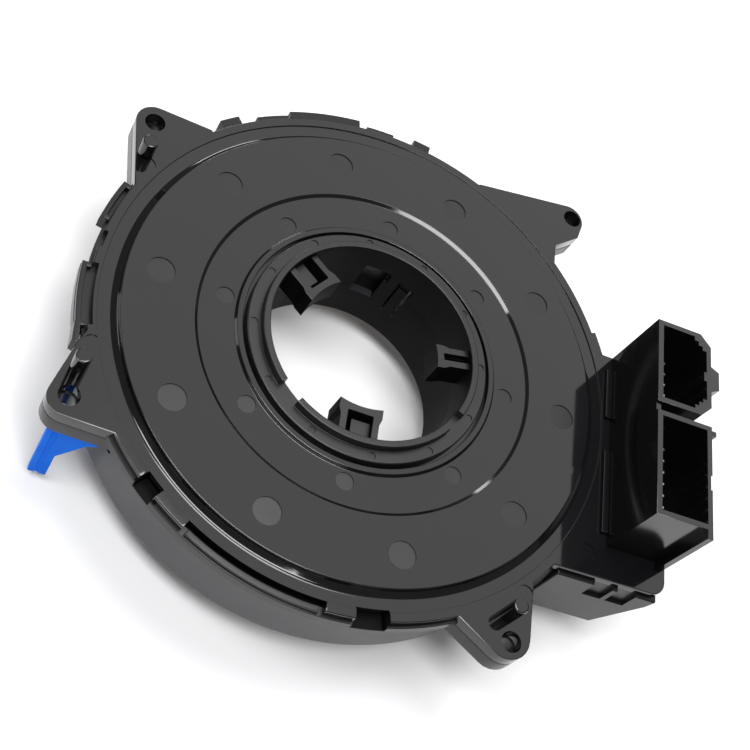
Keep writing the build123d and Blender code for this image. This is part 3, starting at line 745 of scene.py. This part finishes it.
def cover_solids():
    """Turned cover, ears, dowels, ledge and ribs of the column side."""
    edge, flange_r = size("edge"), size("flange_r")
    clip_r = flange_r - BAND_W + 0.3
    solids = [turned(rounded(cover_profile(), steps=6))]
    for name in EARS:
        ear = plate(ear_outline(name), EAR_SPLIT, RIM, edge, both=True)
        solids.append(clipped(ear, clip_r, SEAM, size("collar_r") + 0.1))
    for x, y, height in DOWELS:
        solids.append(rod(x, y, size("dowel_r"), RIM - DOWEL_FOOT, RIM - DOWEL_DROP + height,
                          DOWEL_TIP, 24))
    ledge = plate(rounded(LEDGE, steps=6), SEAM, RIM, edge)
    solids.append(clipped(ledge, clip_r, SEAM, 0.0))
    rib_x = (NEAR_X - 1.5, NEAR_X - 0.05)
    for rib_y in ((UPPER_Y[0] + 4.0, UPPER_Y[1] - 3.5), (LOWER_Y[0] + 2.5, LOWER_Y[1] - 1.9)):
        solids.append(block(rib_x, rib_y, (RIM - 0.5, ANNULUS), 0.15))
    side = sector(flange_r - 2.0, flange_r + 1.2, *SIDE_TAB)
    return solids + [plate(side, SEAM, TAB_TOP, edge)]


def clipped(bm, r_top, z_split, r_low):
    """A plate without what lies inside one radius above a level and inside another below it."""
    cuts = [rod(0, 0, min(r_top, r_low or r_top), -20.0, 60.0, segments=FINE)]
    if r_low > r_top:
        cuts.append(rod(0, 0, r_low, -10.0, z_split, segments=FINE))
    elif r_low:
        cuts.append(rod(0, 0, r_top, z_split, 50.0, segments=FINE))
    return copied(combined([bm], cuts))


def on_circle(count, r, start):
    """Places evenly spaced on a circle."""
    return [polar(r, start + 360.0 / count * index) for index in range(count)]


# Places of the ejector marks
PLATEAU_MARKS = on_circle(10, 41.3, 34.3)
ANNULUS_MARKS = on_circle(8, 28.8, 43.4)
SLEEVE_MARKS = on_circle(12, 23.05, 8.0)
RIM_MARKS = [(49.1, -27.5), (36.7, -39.5), (-48.5, 23.9), (-49.5, -17.1)]
SLEEVE_MARK_R = 0.75
MARK_SEGMENTS = 48
MARK_LEVEL = 0.02


def round_marks(places, radius, level):
    """Shallow round cutters at a list of places."""
    low = level - size("mark_depth")
    return [rod(x, y, radius, low, level + PAST, segments=MARK_SEGMENTS) for x, y in places]


def in_marks(places, radius, level):
    """Test for the sunk faces of round marks."""
    low = level - size("mark_depth")

    def test(face):
        x, y, z = face.center / MM
        return abs(z - low) < MARK_LEVEL and any(hypot(x - a, y - b) < radius for a, b in places)
    return test


def upright_within(radius):
    """Test for the upright faces inside a radius about the shaft's axis."""
    def test(face):
        return abs(face.normal.z) < 0.5 and face.center.xy.length < radius * MM
    return test


def cover_cuts():
    """Holes, rim windows, the terminals' opening and the ejector marks."""
    flange_r = size("flange_r")
    outside = flange_r + 3.0
    cuts = [rod(x, y, size("ear_hole_r"), EAR_SPLIT - PAST, RIM + PAST)
            for x, y in EAR_HOLES.values()]
    openings = [(2.2, outside, window) for window in RIM_WINDOWS]
    openings += [(1.9, outside, RIM_SLOT), (0.8, outside, RIM_NOTCH),
                 (1.1, flange_r + 0.4, RIM_LOOPS[1])]
    for depth, r_out, turn in openings:
        cuts.append(plate(sector(flange_r - depth, r_out, *turn), SEAM - PAST, RIM + PAST))
    cuts.append(block((NEAR_X + 2.4, OUTER_X - 2.2), (LOWER_Y[0] + 1.2, UPPER_Y[1] - 1.5),
                      (SEAM - PAST, RIM + 0.5)))
    cuts += round_marks(PLATEAU_MARKS, size("large_mark_r"), PLATEAU)
    cuts += round_marks(ANNULUS_MARKS, size("small_mark_r"), ANNULUS)
    cuts += round_marks(RIM_MARKS, size("small_mark_r"), RIM)
    return cuts


class CLOCKSPRING_OT_cover(bpy.types.Operator):
    """Glossy cover on the column side"""
    bl_idname = "clockspring.cover"
    bl_label = "Cover"

    def execute(self, context):
        mesh = combined(cover_solids(), cover_cuts())
        piece = finished(mesh, "cover_shell", "stator", polished_abs(), ["stator_cover"])
        rough = marked_abs()
        repaint(piece, rough, in_marks(PLATEAU_MARKS, size("large_mark_r"), PLATEAU))
        repaint(piece, rough, in_marks(ANNULUS_MARKS, size("small_mark_r"), ANNULUS))
        return {"FINISHED"}


def case_solids():
    """Case ring, ears' lower layer and rim clips."""
    edge = size("edge")
    collar_r, flange_r = size("collar_r"), size("flange_r")
    root_r = flange_r + 0.05
    solids = [turned(rounded([
        (CASE_IN, SEAM, 0), (collar_r, SEAM, 0.15), (collar_r, COLLAR_LOW, edge),
        (CASE_OUT, COLLAR_LOW, 0), (CASE_OUT, DISC_TOP + 0.5, 0),
        (CASE_LIP_IN, DISC_TOP + 0.5, 0), (CASE_LIP_IN, DISC_TOP + 1.1, 0),
        (CASE_IN, DISC_TOP + 1.1, 0)]))]
    for name in EARS:
        ear = plate(ear_outline(name), EAR_LOW, EAR_SPLIT, 0.3, both=True)
        solids.append(clipped(ear, collar_r - 1.0, COLLAR_LOW, SKIRT_CLEAR))
    for tab in RIM_TABS:
        solids.append(plate(sector(root_r, TAB_R, *tab), COLLAR_LOW, TAB_TOP, edge))
    for clip in RIM_CLIPS:
        solids.append(plate(sector(root_r, CLIP_R, *clip), COLLAR_LOW, CLIP_TOP, edge))
    for start, end in RIM_LOOPS:
        solids.append(plate(sector(collar_r - 0.5, LOOP_ROOT, start, end), COLLAR_LOW, SEAM, 0.1))
        solids.append(plate(sector(LOOP_IN, LOOP_OUT, start, end), SEAM - 0.5, TAB_TOP, edge))
        for post in ((start, start + POST_TURN), (end - POST_TURN, end)):
            solids.append(plate(sector(root_r, CLIP_R, *post), SEAM - 0.5, POST_TOP, 0.1))
    foot = [polar(53.9, -166.0), polar(55.0, -166.0), polar(55.7, -162.0), polar(54.6, -161.2)]
    solids.append(plate(foot, COLLAR_LOW, TAB_TOP, edge))
    start, end = RIM_SLOT
    slot_ledge = sector(flange_r - 1.0, flange_r + 0.2, start + 1.0, end - 1.0)
    return solids + [plate(slot_ledge, SEAM - 0.3, SEAM + 0.9, 0.3)]


def in_windows(face):
    """Test for the inner faces of the windows in the case's rim, which get painted shade."""
    x, y, z = face.center / MM
    angle = degrees(atan2(y, x))
    near = any(start - 0.1 < angle < end + 0.1 for start, end in RIM_WINDOWS)
    return near and COLLAR_LOW + 0.1 < z < SEAM and hypot(x, y) < 53.45


def box_solid():
    """Shell of the terminal box with its sloping outer side."""
    shell = side_solid([(44.0, SEAM), (65.5, SEAM), (65.0, BOX_BEND), (60.0, BOX_LOW),
                        (44.0, BOX_LOW)], -32.8, 18.0, 0.35, 3)
    inside = side_solid([(42.4, SEAM + PAST), (63.9, SEAM + PAST), (63.4, BOX_BEND),
                         (58.4, BOX_LOW - PAST), (42.4, BOX_LOW - PAST)], -31.2, 16.4)
    core = rod(0, 0, BOX_IN, BOX_LOW - 2 * PAST, SEAM + 2 * PAST, segments=FINE)
    cuts = [copied(combined([inside], [core])),
            rod(0, 0, SKIRT_CLEAR, BOX_LOW - 2 * PAST, COLLAR_LOW, segments=FINE),
            rod(0, 0, COLLAR_CLEAR, COLLAR_LOW - 0.01, SEAM + PAST, segments=FINE)]
    for x in (54.0, 59.0):
        cuts.append(block((x - 2.0, x + 2.0), (-33.8, -32.0), (SEAM - 5.0, SEAM + PAST)))
    return copied(combined([shell], cuts))


def case_cuts():
    """Ear holes, rim windows, the slot's trench and the ways into the terminal box."""
    high = SEAM + 0.5
    cuts = [rod(x, y, CASE_HOLE_R, EAR_LOW - PAST, EAR_SPLIT + PAST)
            for x, y in EAR_HOLES.values()]
    for window in RIM_WINDOWS:
        cuts.append(plate(sector(48.3, 53.4, *window), COLLAR_LOW + 0.3, high))
        cuts.append(plate(sector(53.3, 56.0, *window), COLLAR_LOW + 0.9, high))
    cuts.append(plate(sector(50.2, 51.9, *RIM_SLOT), COLLAR_LOW + 0.4, high))
    cuts.append(plate(sector(50.0, 53.7, -22.5, 16.5), PLATEAU - 4.5, high))
    cuts.append(plate(sector(47.0, 50.0, -17.2, 11.2), PLATEAU - 17.5, high))
    return cuts


class CLOCKSPRING_OT_case(bpy.types.Operator):
    """Satin case ring with its clips, ears and terminal box"""
    bl_idname = "clockspring.case"
    bl_label = "Case"

    def execute(self, context):
        mesh = combined(case_solids() + [box_solid()], case_cuts())
        piece = finished(mesh, "case_shell", "stator", satin_pbt(), ["stator_case"])
        # The windows' inner faces are painted dark as shade of their deep pockets
        repaint(piece, shaded_recess_pbt(), in_windows)
        return {"FINISHED"}


# Window and latch of the rotor's tube, and the sleeve's cut-outs over them, in degrees
WINDOW = (81.0, 94.0)
LATCH = (65.0, 73.2)
SLIT_TURN = 1.2
SLEEVE_WINDOW = (79.5, 95.5)
SLEEVE_LATCH = (64.0, 74.2)
LIP_NOTCHES = ((-137.7, -125.4), (-38.0, -25.8))

# Tabs of the sleeve: direction in degrees and width in millimetres
SLEEVE_TABS = ((-90.4, 8.6), (141.6, 8.1), (10.3, 5.0))
TAB_WALL = 1.3

# Height of the latch's upper slit, in millimetres
TOP_SLIT = 1.2


def rotor_solids():
    """Turned rotor with its two drive pins."""
    skirt, bore = size("skirt_r"), size("shaft_bore_r")
    tube = bore + 1.7
    profile = rounded([
        (bore, 0.0, 0.25), (tube, 0.0, 0.25), (tube, FACE, 0.3), (skirt, FACE, 0.9),
        (skirt, SKIRT_TOP, 0.15), (skirt - 1.6, SKIRT_TOP, 0.15), (skirt - 1.6, DISC_TOP, 0),
        (DRUM_OUT, DISC_TOP, 0), (DRUM_OUT, DRUM_TOP, 0), (DRUM_IN, DRUM_TOP, 0),
        (DRUM_IN, DISC_TOP, 0), (tube, DISC_TOP, 0), (tube, TUBE_TOP, 0),
        (SLEEVE_SEAT_R, TUBE_TOP, 0), (SLEEVE_SEAT_R, SLEEVE_SEAT, 0), (bore, SLEEVE_SEAT, 0)])
    pins = [rod(x, y, 3.0, DRIVE_PIN_TIP, FACE + 0.5) for x, y in ((-40.0, 0.0), (0.0, -40.0))]
    return [turned(profile)] + pins


def rotor_cuts():
    """Window and latch slits in the rotor's tube, and the lock pin's hole in its skirt."""
    first, last = LATCH
    openings = [(WINDOW, PLATEAU - 14.0, WINDOW_TOP),
                ((first, first + SLIT_TURN), PLATEAU - 15.5, LATCH_TOP),
                ((last - SLIT_TURN, last), PLATEAU - 15.5, LATCH_TOP),
                (LATCH, LATCH_TOP - TOP_SLIT, LATCH_TOP)]
    cuts = [plate(sector(20.0, 23.6, *turn), low, high) for turn, low, high in openings]
    cuts.append(block((-54.0, -25.0), (-31.68, -29.48), (11.3, 14.3)))
    return cuts


class CLOCKSPRING_OT_rotor(bpy.types.Operator):
    """Rotor with skirt, tube, drum and drive pins"""
    bl_idname = "clockspring.rotor"
    bl_label = "Rotor"

    def execute(self, context):
        mesh = combined(rotor_solids(), rotor_cuts())
        # The rotor's colour is the skirt's, lightened as painted light
        piece = finished(mesh, "rotor_shell", "rotor_unit", skirt_pbt_painted_light(), ["rotor"])
        # The tube's upright faces are painted dark as shade inside the bore
        repaint(piece, shaded_recess_pbt(), upright_within(24.0))
        return {"FINISHED"}


def sleeve_tab(angle, width):
    """Tab with two flared legs, a bar, a pocket in its top and a hole behind the bar."""
    bore, reach = size("sleeve_bore_r"), size("tab_reach_r")
    half = width / 2
    low, high = SLEEVE_TAB
    leg = half - 0.45
    bar = reach + TAB_WALL
    inner = leg - TAB_WALL
    body = plate(rounded([
        (reach - 1.2, -half, 0), (bar, -half, 0.3), (reach + 2.6, -leg, 0.8),
        (bore + 0.6, -leg, 0), (bore + 0.6, leg, 0), (reach + 2.6, leg, 0.8),
        (bar, half, 0.3), (reach - 1.2, half, 0)]), low, high, 0.15)
    pocket = [(bar, -inner, 0.2), (bore, -inner, 0.2), (bore, inner, 0.2), (bar, inner, 0.2)]
    hole = [(bar, -inner, 0.2), (bore, -inner, 0.2), (bore, 2.7 - leg, 0.2),
            (reach + 2.2, 2.7 - leg, 0.2), (reach + 2.2, inner, 0.2), (bar, inner, 0.2)]
    cuts = [rod(0, 0, reach, low - PAST, high + PAST, segments=96),
            plate(rounded(pocket), high - 1.5, high + PAST),
            plate(rounded(hole), low + 0.8, high + 1.5)]
    return swung(copied(combined([body], cuts)), angle)


def sleeve_solids():
    """Turned sleeve with its flange and lip, and the three tabs."""
    bore, flange = size("sleeve_bore_r"), size("sleeve_flange_r")
    profile = rounded([
        (bore, SLEEVE_LOW, 0.1), (SLEEVE_OUT, SLEEVE_LOW, 0.1),
        (SLEEVE_OUT, SLEEVE_FLANGE_LOW, 0), (flange, SLEEVE_FLANGE_LOW, 0),
        (flange, SLEEVE_TOP, 0.3), (SLEEVE_SEAT_R, SLEEVE_TOP, 0.15),
        (SLEEVE_SEAT_R, SLEEVE_LIP_TOP, 0.25), (bore, SLEEVE_LIP_TOP, 0.25)])
    return [turned(profile)] + [sleeve_tab(angle, width) for angle, width in SLEEVE_TABS]


def sleeve_cuts():
    """Notches of the lip, cut-outs over the tube's openings and small ejector marks."""
    openings = [(notch, SLEEVE_TOP, PLATEAU + 3.0) for notch in LIP_NOTCHES]
    openings += [(SLEEVE_WINDOW, PLATEAU - 8.0, WINDOW_TOP),
                 (SLEEVE_LATCH, PLATEAU - 8.0, LATCH_TOP)]
    cuts = [plate(sector(19.5, 22.5, *turn), low, high) for turn, low, high in openings]
    return cuts + round_marks(SLEEVE_MARKS, SLEEVE_MARK_R, SLEEVE_TOP)


class CLOCKSPRING_OT_sleeve(bpy.types.Operator):
    """Sleeve with its flange, notched lip and three tabs"""
    bl_idname = "clockspring.sleeve"
    bl_label = "Sleeve"

    def execute(self, context):
        mesh = combined(sleeve_solids(), sleeve_cuts())
        piece = finished(mesh, "sleeve_shell", "rotor_unit", sleeve_pom(), ["sleeve"])
        # The sleeve's bore is painted dark as shade inside it
        repaint(piece, shaded_recess_pbt(), upright_within(size("sleeve_bore_r") + 0.2))
        return {"FINISHED"}


# Steps in the hollow corners of the upper socket: number and width in millimetres
STAIRS = 3
STAIR = 0.9


def socket_solids():
    """Walls of the two plug sockets, key bump, fin, hook and the bridge between them."""
    low, high = SOCKET_LOW, SOCKET_TOP
    edge, corner = 0.15, 2.4
    key_x, key_out = OUTER_X - 0.5, OUTER_X + 1.8
    y0, y1 = UPPER_Y
    upper = [(NEAR_X, y0), (OUTER_X - corner, y0), (OUTER_X, y0 + corner),
             (OUTER_X, y1 - corner), (OUTER_X - corner, y1), (NEAR_X, y1)]
    key = [(key_x, 4.8), (OUTER_X, 4.8), (key_out, 5.7), (key_out, 9.7), (OUTER_X, 10.6),
           (key_x, 10.6)]
    y0, y1 = LOWER_Y
    bridge_y = (y1 - 0.5, UPPER_Y[0] + 0.5)
    return [
        plate(upper, low, high, edge),
        plate(key, low, high, edge),
        plate(slab((NEAR_X, OUTER_X), LOWER_Y), low, high, edge),
        plate(slab((OUTER_X - 1.2, OUTER_X), (y0 - 1.8, y0 + 0.5)), low, high, edge),
        plate(slab((key_x, OUTER_X + 1.7), (y1 - 1.1, y1 - 0.1)), low, high - 1.0, edge),
        plate(slab((NEAR_X, OUTER_X - 2.4), bridge_y), low, low + 2.4),
        plate(slab((NEAR_X, NEAR_X + 1.1), bridge_y), low, high - 0.6, 0.1),
    ]


def stairs(x, y, side):
    """Steps round a hollow corner, from the short wall at y to the outer wall at x."""
    corners = []
    for left in range(STAIRS, 0, -1):
        for done in (STAIRS - left, STAIRS - left + 1):
            corners.append((x - left * STAIR, y + side * done * STAIR))
    return corners + [(x, y + side * STAIRS * STAIR)]


def socket_cuts():
    """Hollows of the two sockets, with stairs and an inward ridge, and a notch in the wall."""
    wall = size("socket_wall")
    x0, x1 = NEAR_X + wall, OUTER_X - wall
    y0, y1 = UPPER_Y[0] + wall, UPPER_Y[1] - wall
    ridge_x = x1 - 0.6
    upper = [(x0, y0), *stairs(x1, y0, 1), (x1, 6.8), (ridge_x, 6.8), (ridge_x, 8.8),
             (x1, 8.8), *reversed(stairs(x1, y1, -1)), (x0, y1)]
    lower = slab((x0, x1), (LOWER_Y[0] + wall, LOWER_Y[1] - wall))
    cuts = [plate(hollow, SOCKET_FLOOR, SOCKET_TOP + PAST) for hollow in (upper, lower)]
    cuts.append(block((OUTER_X - 0.4, OUTER_X + PAST), (-16.8, -13.6), (RIM, SOCKET_TOP + PAST)))
    return cuts


class CLOCKSPRING_OT_sockets(bpy.types.Operator):
    """Block with the two plug sockets"""
    bl_idname = "clockspring.sockets"
    bl_label = "Plug sockets"

    def execute(self, context):
        mesh = combined(socket_solids(), socket_cuts())
        finished(mesh, "socket_shell", "stator", socket_pbt(), ["socket_block"])
        return {"FINISHED"}


def pin_row(socket_y, count):
    """Terminal pins with bevelled tips, in one row in the middle of a socket."""
    middle = sum(socket_y) / 2
    pins = []
    for index in range(count):
        y = middle + PIN_PITCH * (index - (count - 1) / 2)
        pin = block((PIN_X - PIN_HALF, PIN_X + PIN_HALF), (y - PIN_HALF, y + PIN_HALF),
                    (PIN_FOOT, PIN_TIP))
        tip = [f for f in pin.faces if f.normal.z > 0.9]
        bmesh.ops.inset_region(pin, faces=tip, thickness=PIN_HALF / 2, depth=0.0)
        inner = {v for f in tip for v in f.verts}
        rim = [v for v in pin.verts if abs(v.co.z - PIN_TIP) < LEVEL and v not in inner]
        bmesh.ops.translate(pin, verts=rim, vec=(0, 0, -PIN_POINT))
        pins.append(pin)
    return pins


class CLOCKSPRING_OT_terminals(bpy.types.Operator):
    """Terminal pins of both plug sockets"""
    bl_idname = "clockspring.terminals"
    bl_label = "Terminals"

    def execute(self, context):
        for row, socket_y, count in TERMINALS:
            mesh = one_mesh(pin_row(socket_y, count))
            finished(mesh, f"{row}_pins", "stator", tin_plate(), [f"{row}_terminals"])
        return {"FINISHED"}


# Lock pin: x of its back, of the bar's front and of the web's tip, and its width across
LOCK_BACK, LOCK_FRONT, LOCK_TIP = -52.26, -48.86, -42.98
LOCK_Y = (-31.28, -29.88)


class CLOCKSPRING_OT_lock(bpy.types.Operator):
    """Blue transport lock pin"""
    bl_idname = "clockspring.lock"
    bl_label = "Lock pin"

    def execute(self, context):
        outline = [(LOCK_BACK, LOCK_TOP), (LOCK_TIP, LOCK_TOP), (LOCK_TIP, LOCK_TOP - 2.4),
                   (LOCK_TIP - 1.8, LOCK_TOP - 3.5), (LOCK_FRONT, LOCK_TOP - 10.5),
                   (LOCK_FRONT, LOCK_LOW), (LOCK_BACK, LOCK_LOW)]
        pin = side_solid(outline, *LOCK_Y, 0.2)
        groove = rod(-50.6, -31.55, 0.6, LOCK_LOW - PAST, LOCK_TOP - 1.6, segments=24)
        mesh = combined([pin], [groove])
        finished(mesh, "lock_shell", "lock", dyed_lock_plastic(), ["lock_pin"])
        return {"FINISHED"}


class CLOCKSPRING_OT_packed(bpy.types.Operator):
    """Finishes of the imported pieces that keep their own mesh"""
    bl_idname = "clockspring.packed"
    bl_label = "Packed pieces"

    def execute(self, context):
        acetal = natural_acetal()
        dress(["roller_carrier", "stator_lead_block", "rotor_lead_block", "switch_socket"], acetal)
        dress([f"roller_{index}" for index in range(1, 7)], acetal)
        dress(["glide_sheet", "outer_winding", "inner_winding", "u_turn_cable"], cable_film())
        dress(["squib_socket"], squib_pbt())
        dress(["squib_terminals", "switch_terminals"], tin_plate())
        dress(["bus_bars"], bare_copper())
        dress(["terminal_lid"], satin_pbt())
        return {"FINISHED"}


# Camera at the photograph's angle: place in millimetres, turn in degrees, focal length
CAMERA_PLACE = (-69.46, -140.28, 204.08 + PLATEAU)
CAMERA_TURN = (29.1957, -23.3522, 7.4263)
LENS = 65.696

# Floor's half width in millimetres, and how much it glows for the camera
FLOOR_SIZE = 3000.0
FLOOR_LIFT = 0.05

# Dim light from all around
ROOM_LIGHT = 0.12
WHITE = (1.0, 1.0, 1.0, 1.0)

# Lamps: name, place, width and height in millimetres, power in watts
LAMPS = (
    ("softbox", (100.0, 260.0, 430.0), 560.0, 560.0, 1.17),
    ("front_strip", (-115.0, -180.0, 590.0), 560.0, 150.0, 3.2),
    ("overhead", (60.0, 90.0, 620.0), 220.0, 220.0, 1.4),
    ("left_softbox", (-620.0, 160.0, 160.0), 200.0, 200.0, 0.5),
    ("back_strip", (-150.0, 620.0, 200.0), 150.0, 120.0, 0.45),
)


def make_floor(scene):
    """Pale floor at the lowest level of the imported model."""
    bm = bmesh.new()
    bmesh.ops.create_grid(bm, x_segments=1, y_segments=1, size=FLOOR_SIZE)
    bmesh.ops.translate(bm, verts=bm.verts, vec=(0, 0, cad_box[0][2] / MM))
    mesh = mesh_of(bm, "floor")
    mesh.transform(Matrix.Scale(MM, 4))
    floor = bpy.data.objects.new("floor", mesh)
    scene.collection.objects.link(floor)
    mesh.materials.append(white_paper())


def make_world(scene):
    """World that lights the object dimly and shows white behind it."""
    world = bpy.data.worlds.new("studio")
    scene.world = world
    world.use_nodes = True
    tree = world.node_tree
    tree.nodes.clear()
    rays = add(tree, "ShaderNodeLightPath")
    seen = add(tree, "ShaderNodeMath", {
        0: rays.outputs["Is Camera Ray"], 1: rays.outputs["Is Transmission Ray"]},
        operation="MAXIMUM")
    room = add(tree, "ShaderNodeBackground", {"Color": WHITE, "Strength": ROOM_LIGHT})
    white = add(tree, "ShaderNodeBackground", {"Color": WHITE, "Strength": 1.0})
    mixed = add(tree, "ShaderNodeMixShader", {
        0: seen.outputs[0], 1: room.outputs["Background"], 2: white.outputs["Background"]})
    add(tree, "ShaderNodeOutputWorld", {"Surface": mixed.outputs["Shader"]})


def make_lamps(scene):
    """Rectangular softboxes that face the object."""
    for name, place, width, height, power in LAMPS:
        lamp = bpy.data.lights.new(name, "AREA")
        lamp.shape = "RECTANGLE"
        lamp.size = width * MM
        lamp.size_y = height * MM
        lamp.energy = power
        softbox = bpy.data.objects.new(name, lamp)
        scene.collection.objects.link(softbox)
        softbox.location = Vector(place) * MM
        softbox.rotation_euler = (-Vector(place)).to_track_quat("-Z", "Y").to_euler()


def make_camera(scene):
    """Camera at the photograph's angle, with everything in focus."""
    lens = bpy.data.cameras.new("camera")
    lens.lens = LENS
    camera = bpy.data.objects.new("camera", lens)
    scene.collection.objects.link(camera)
    camera.location = Vector(CAMERA_PLACE) * MM
    camera.rotation_euler = Euler([radians(angle) for angle in CAMERA_TURN], "XYZ")
    scene.camera = camera


class CLOCKSPRING_OT_stage(bpy.types.Operator):
    """Pale floor, soft studio light and the camera"""
    bl_idname = "clockspring.stage"
    bl_label = "Stage"

    def execute(self, context):
        scene = context.scene
        make_floor(scene)
        make_world(scene)
        make_lamps(scene)
        make_camera(scene)
        scene.view_settings.view_transform = "Standard"
        return {"FINISHED"}


class CLOCKSPRING_PT_panel(bpy.types.Panel):
    """Sizes, colours and operators of the clock spring"""
    bl_idname = "CLOCKSPRING_PT_panel"
    bl_label = "Clock Spring"
    bl_space_type = "VIEW_3D"
    bl_region_type = "UI"
    bl_category = "Clock Spring"

    def draw(self, context):
        column = self.layout.column()
        for step in STEPS:
            column.operator(step.bl_idname)
        for group in (context.scene.clock_spring_sizes, context.scene.clock_spring_colours):
            for name in group.__annotations__:
                column.prop(group, name)


STEPS = (CLOCKSPRING_OT_cover, CLOCKSPRING_OT_case, CLOCKSPRING_OT_rotor,
         CLOCKSPRING_OT_sleeve, CLOCKSPRING_OT_sockets, CLOCKSPRING_OT_terminals,
         CLOCKSPRING_OT_lock, CLOCKSPRING_OT_packed, CLOCKSPRING_OT_stage)
CLASSES = (ClockSpringSizes, ClockSpringColours, *STEPS, CLOCKSPRING_PT_panel)


def register():
    """Registers the classes and their properties."""
    for item in CLASSES:
        bpy.utils.register_class(item)
    bpy.types.Scene.clock_spring_sizes = bpy.props.PointerProperty(type=ClockSpringSizes)
    bpy.types.Scene.clock_spring_colours = bpy.props.PointerProperty(type=ClockSpringColours)


def unregister():
    """Removes the classes and their properties."""
    del bpy.types.Scene.clock_spring_colours
    del bpy.types.Scene.clock_spring_sizes
    for item in reversed(CLASSES):
        bpy.utils.unregister_class(item)


def main():
    """Makes every piece and the stage."""
    register()
    bpy.ops.clockspring.cover()
    bpy.ops.clockspring.case()
    bpy.ops.clockspring.rotor()
    bpy.ops.clockspring.sleeve()
    bpy.ops.clockspring.sockets()
    bpy.ops.clockspring.terminals()
    bpy.ops.clockspring.lock()
    bpy.ops.clockspring.packed()
    bpy.ops.clockspring.stage()


if __name__ == "__main__":
    main()
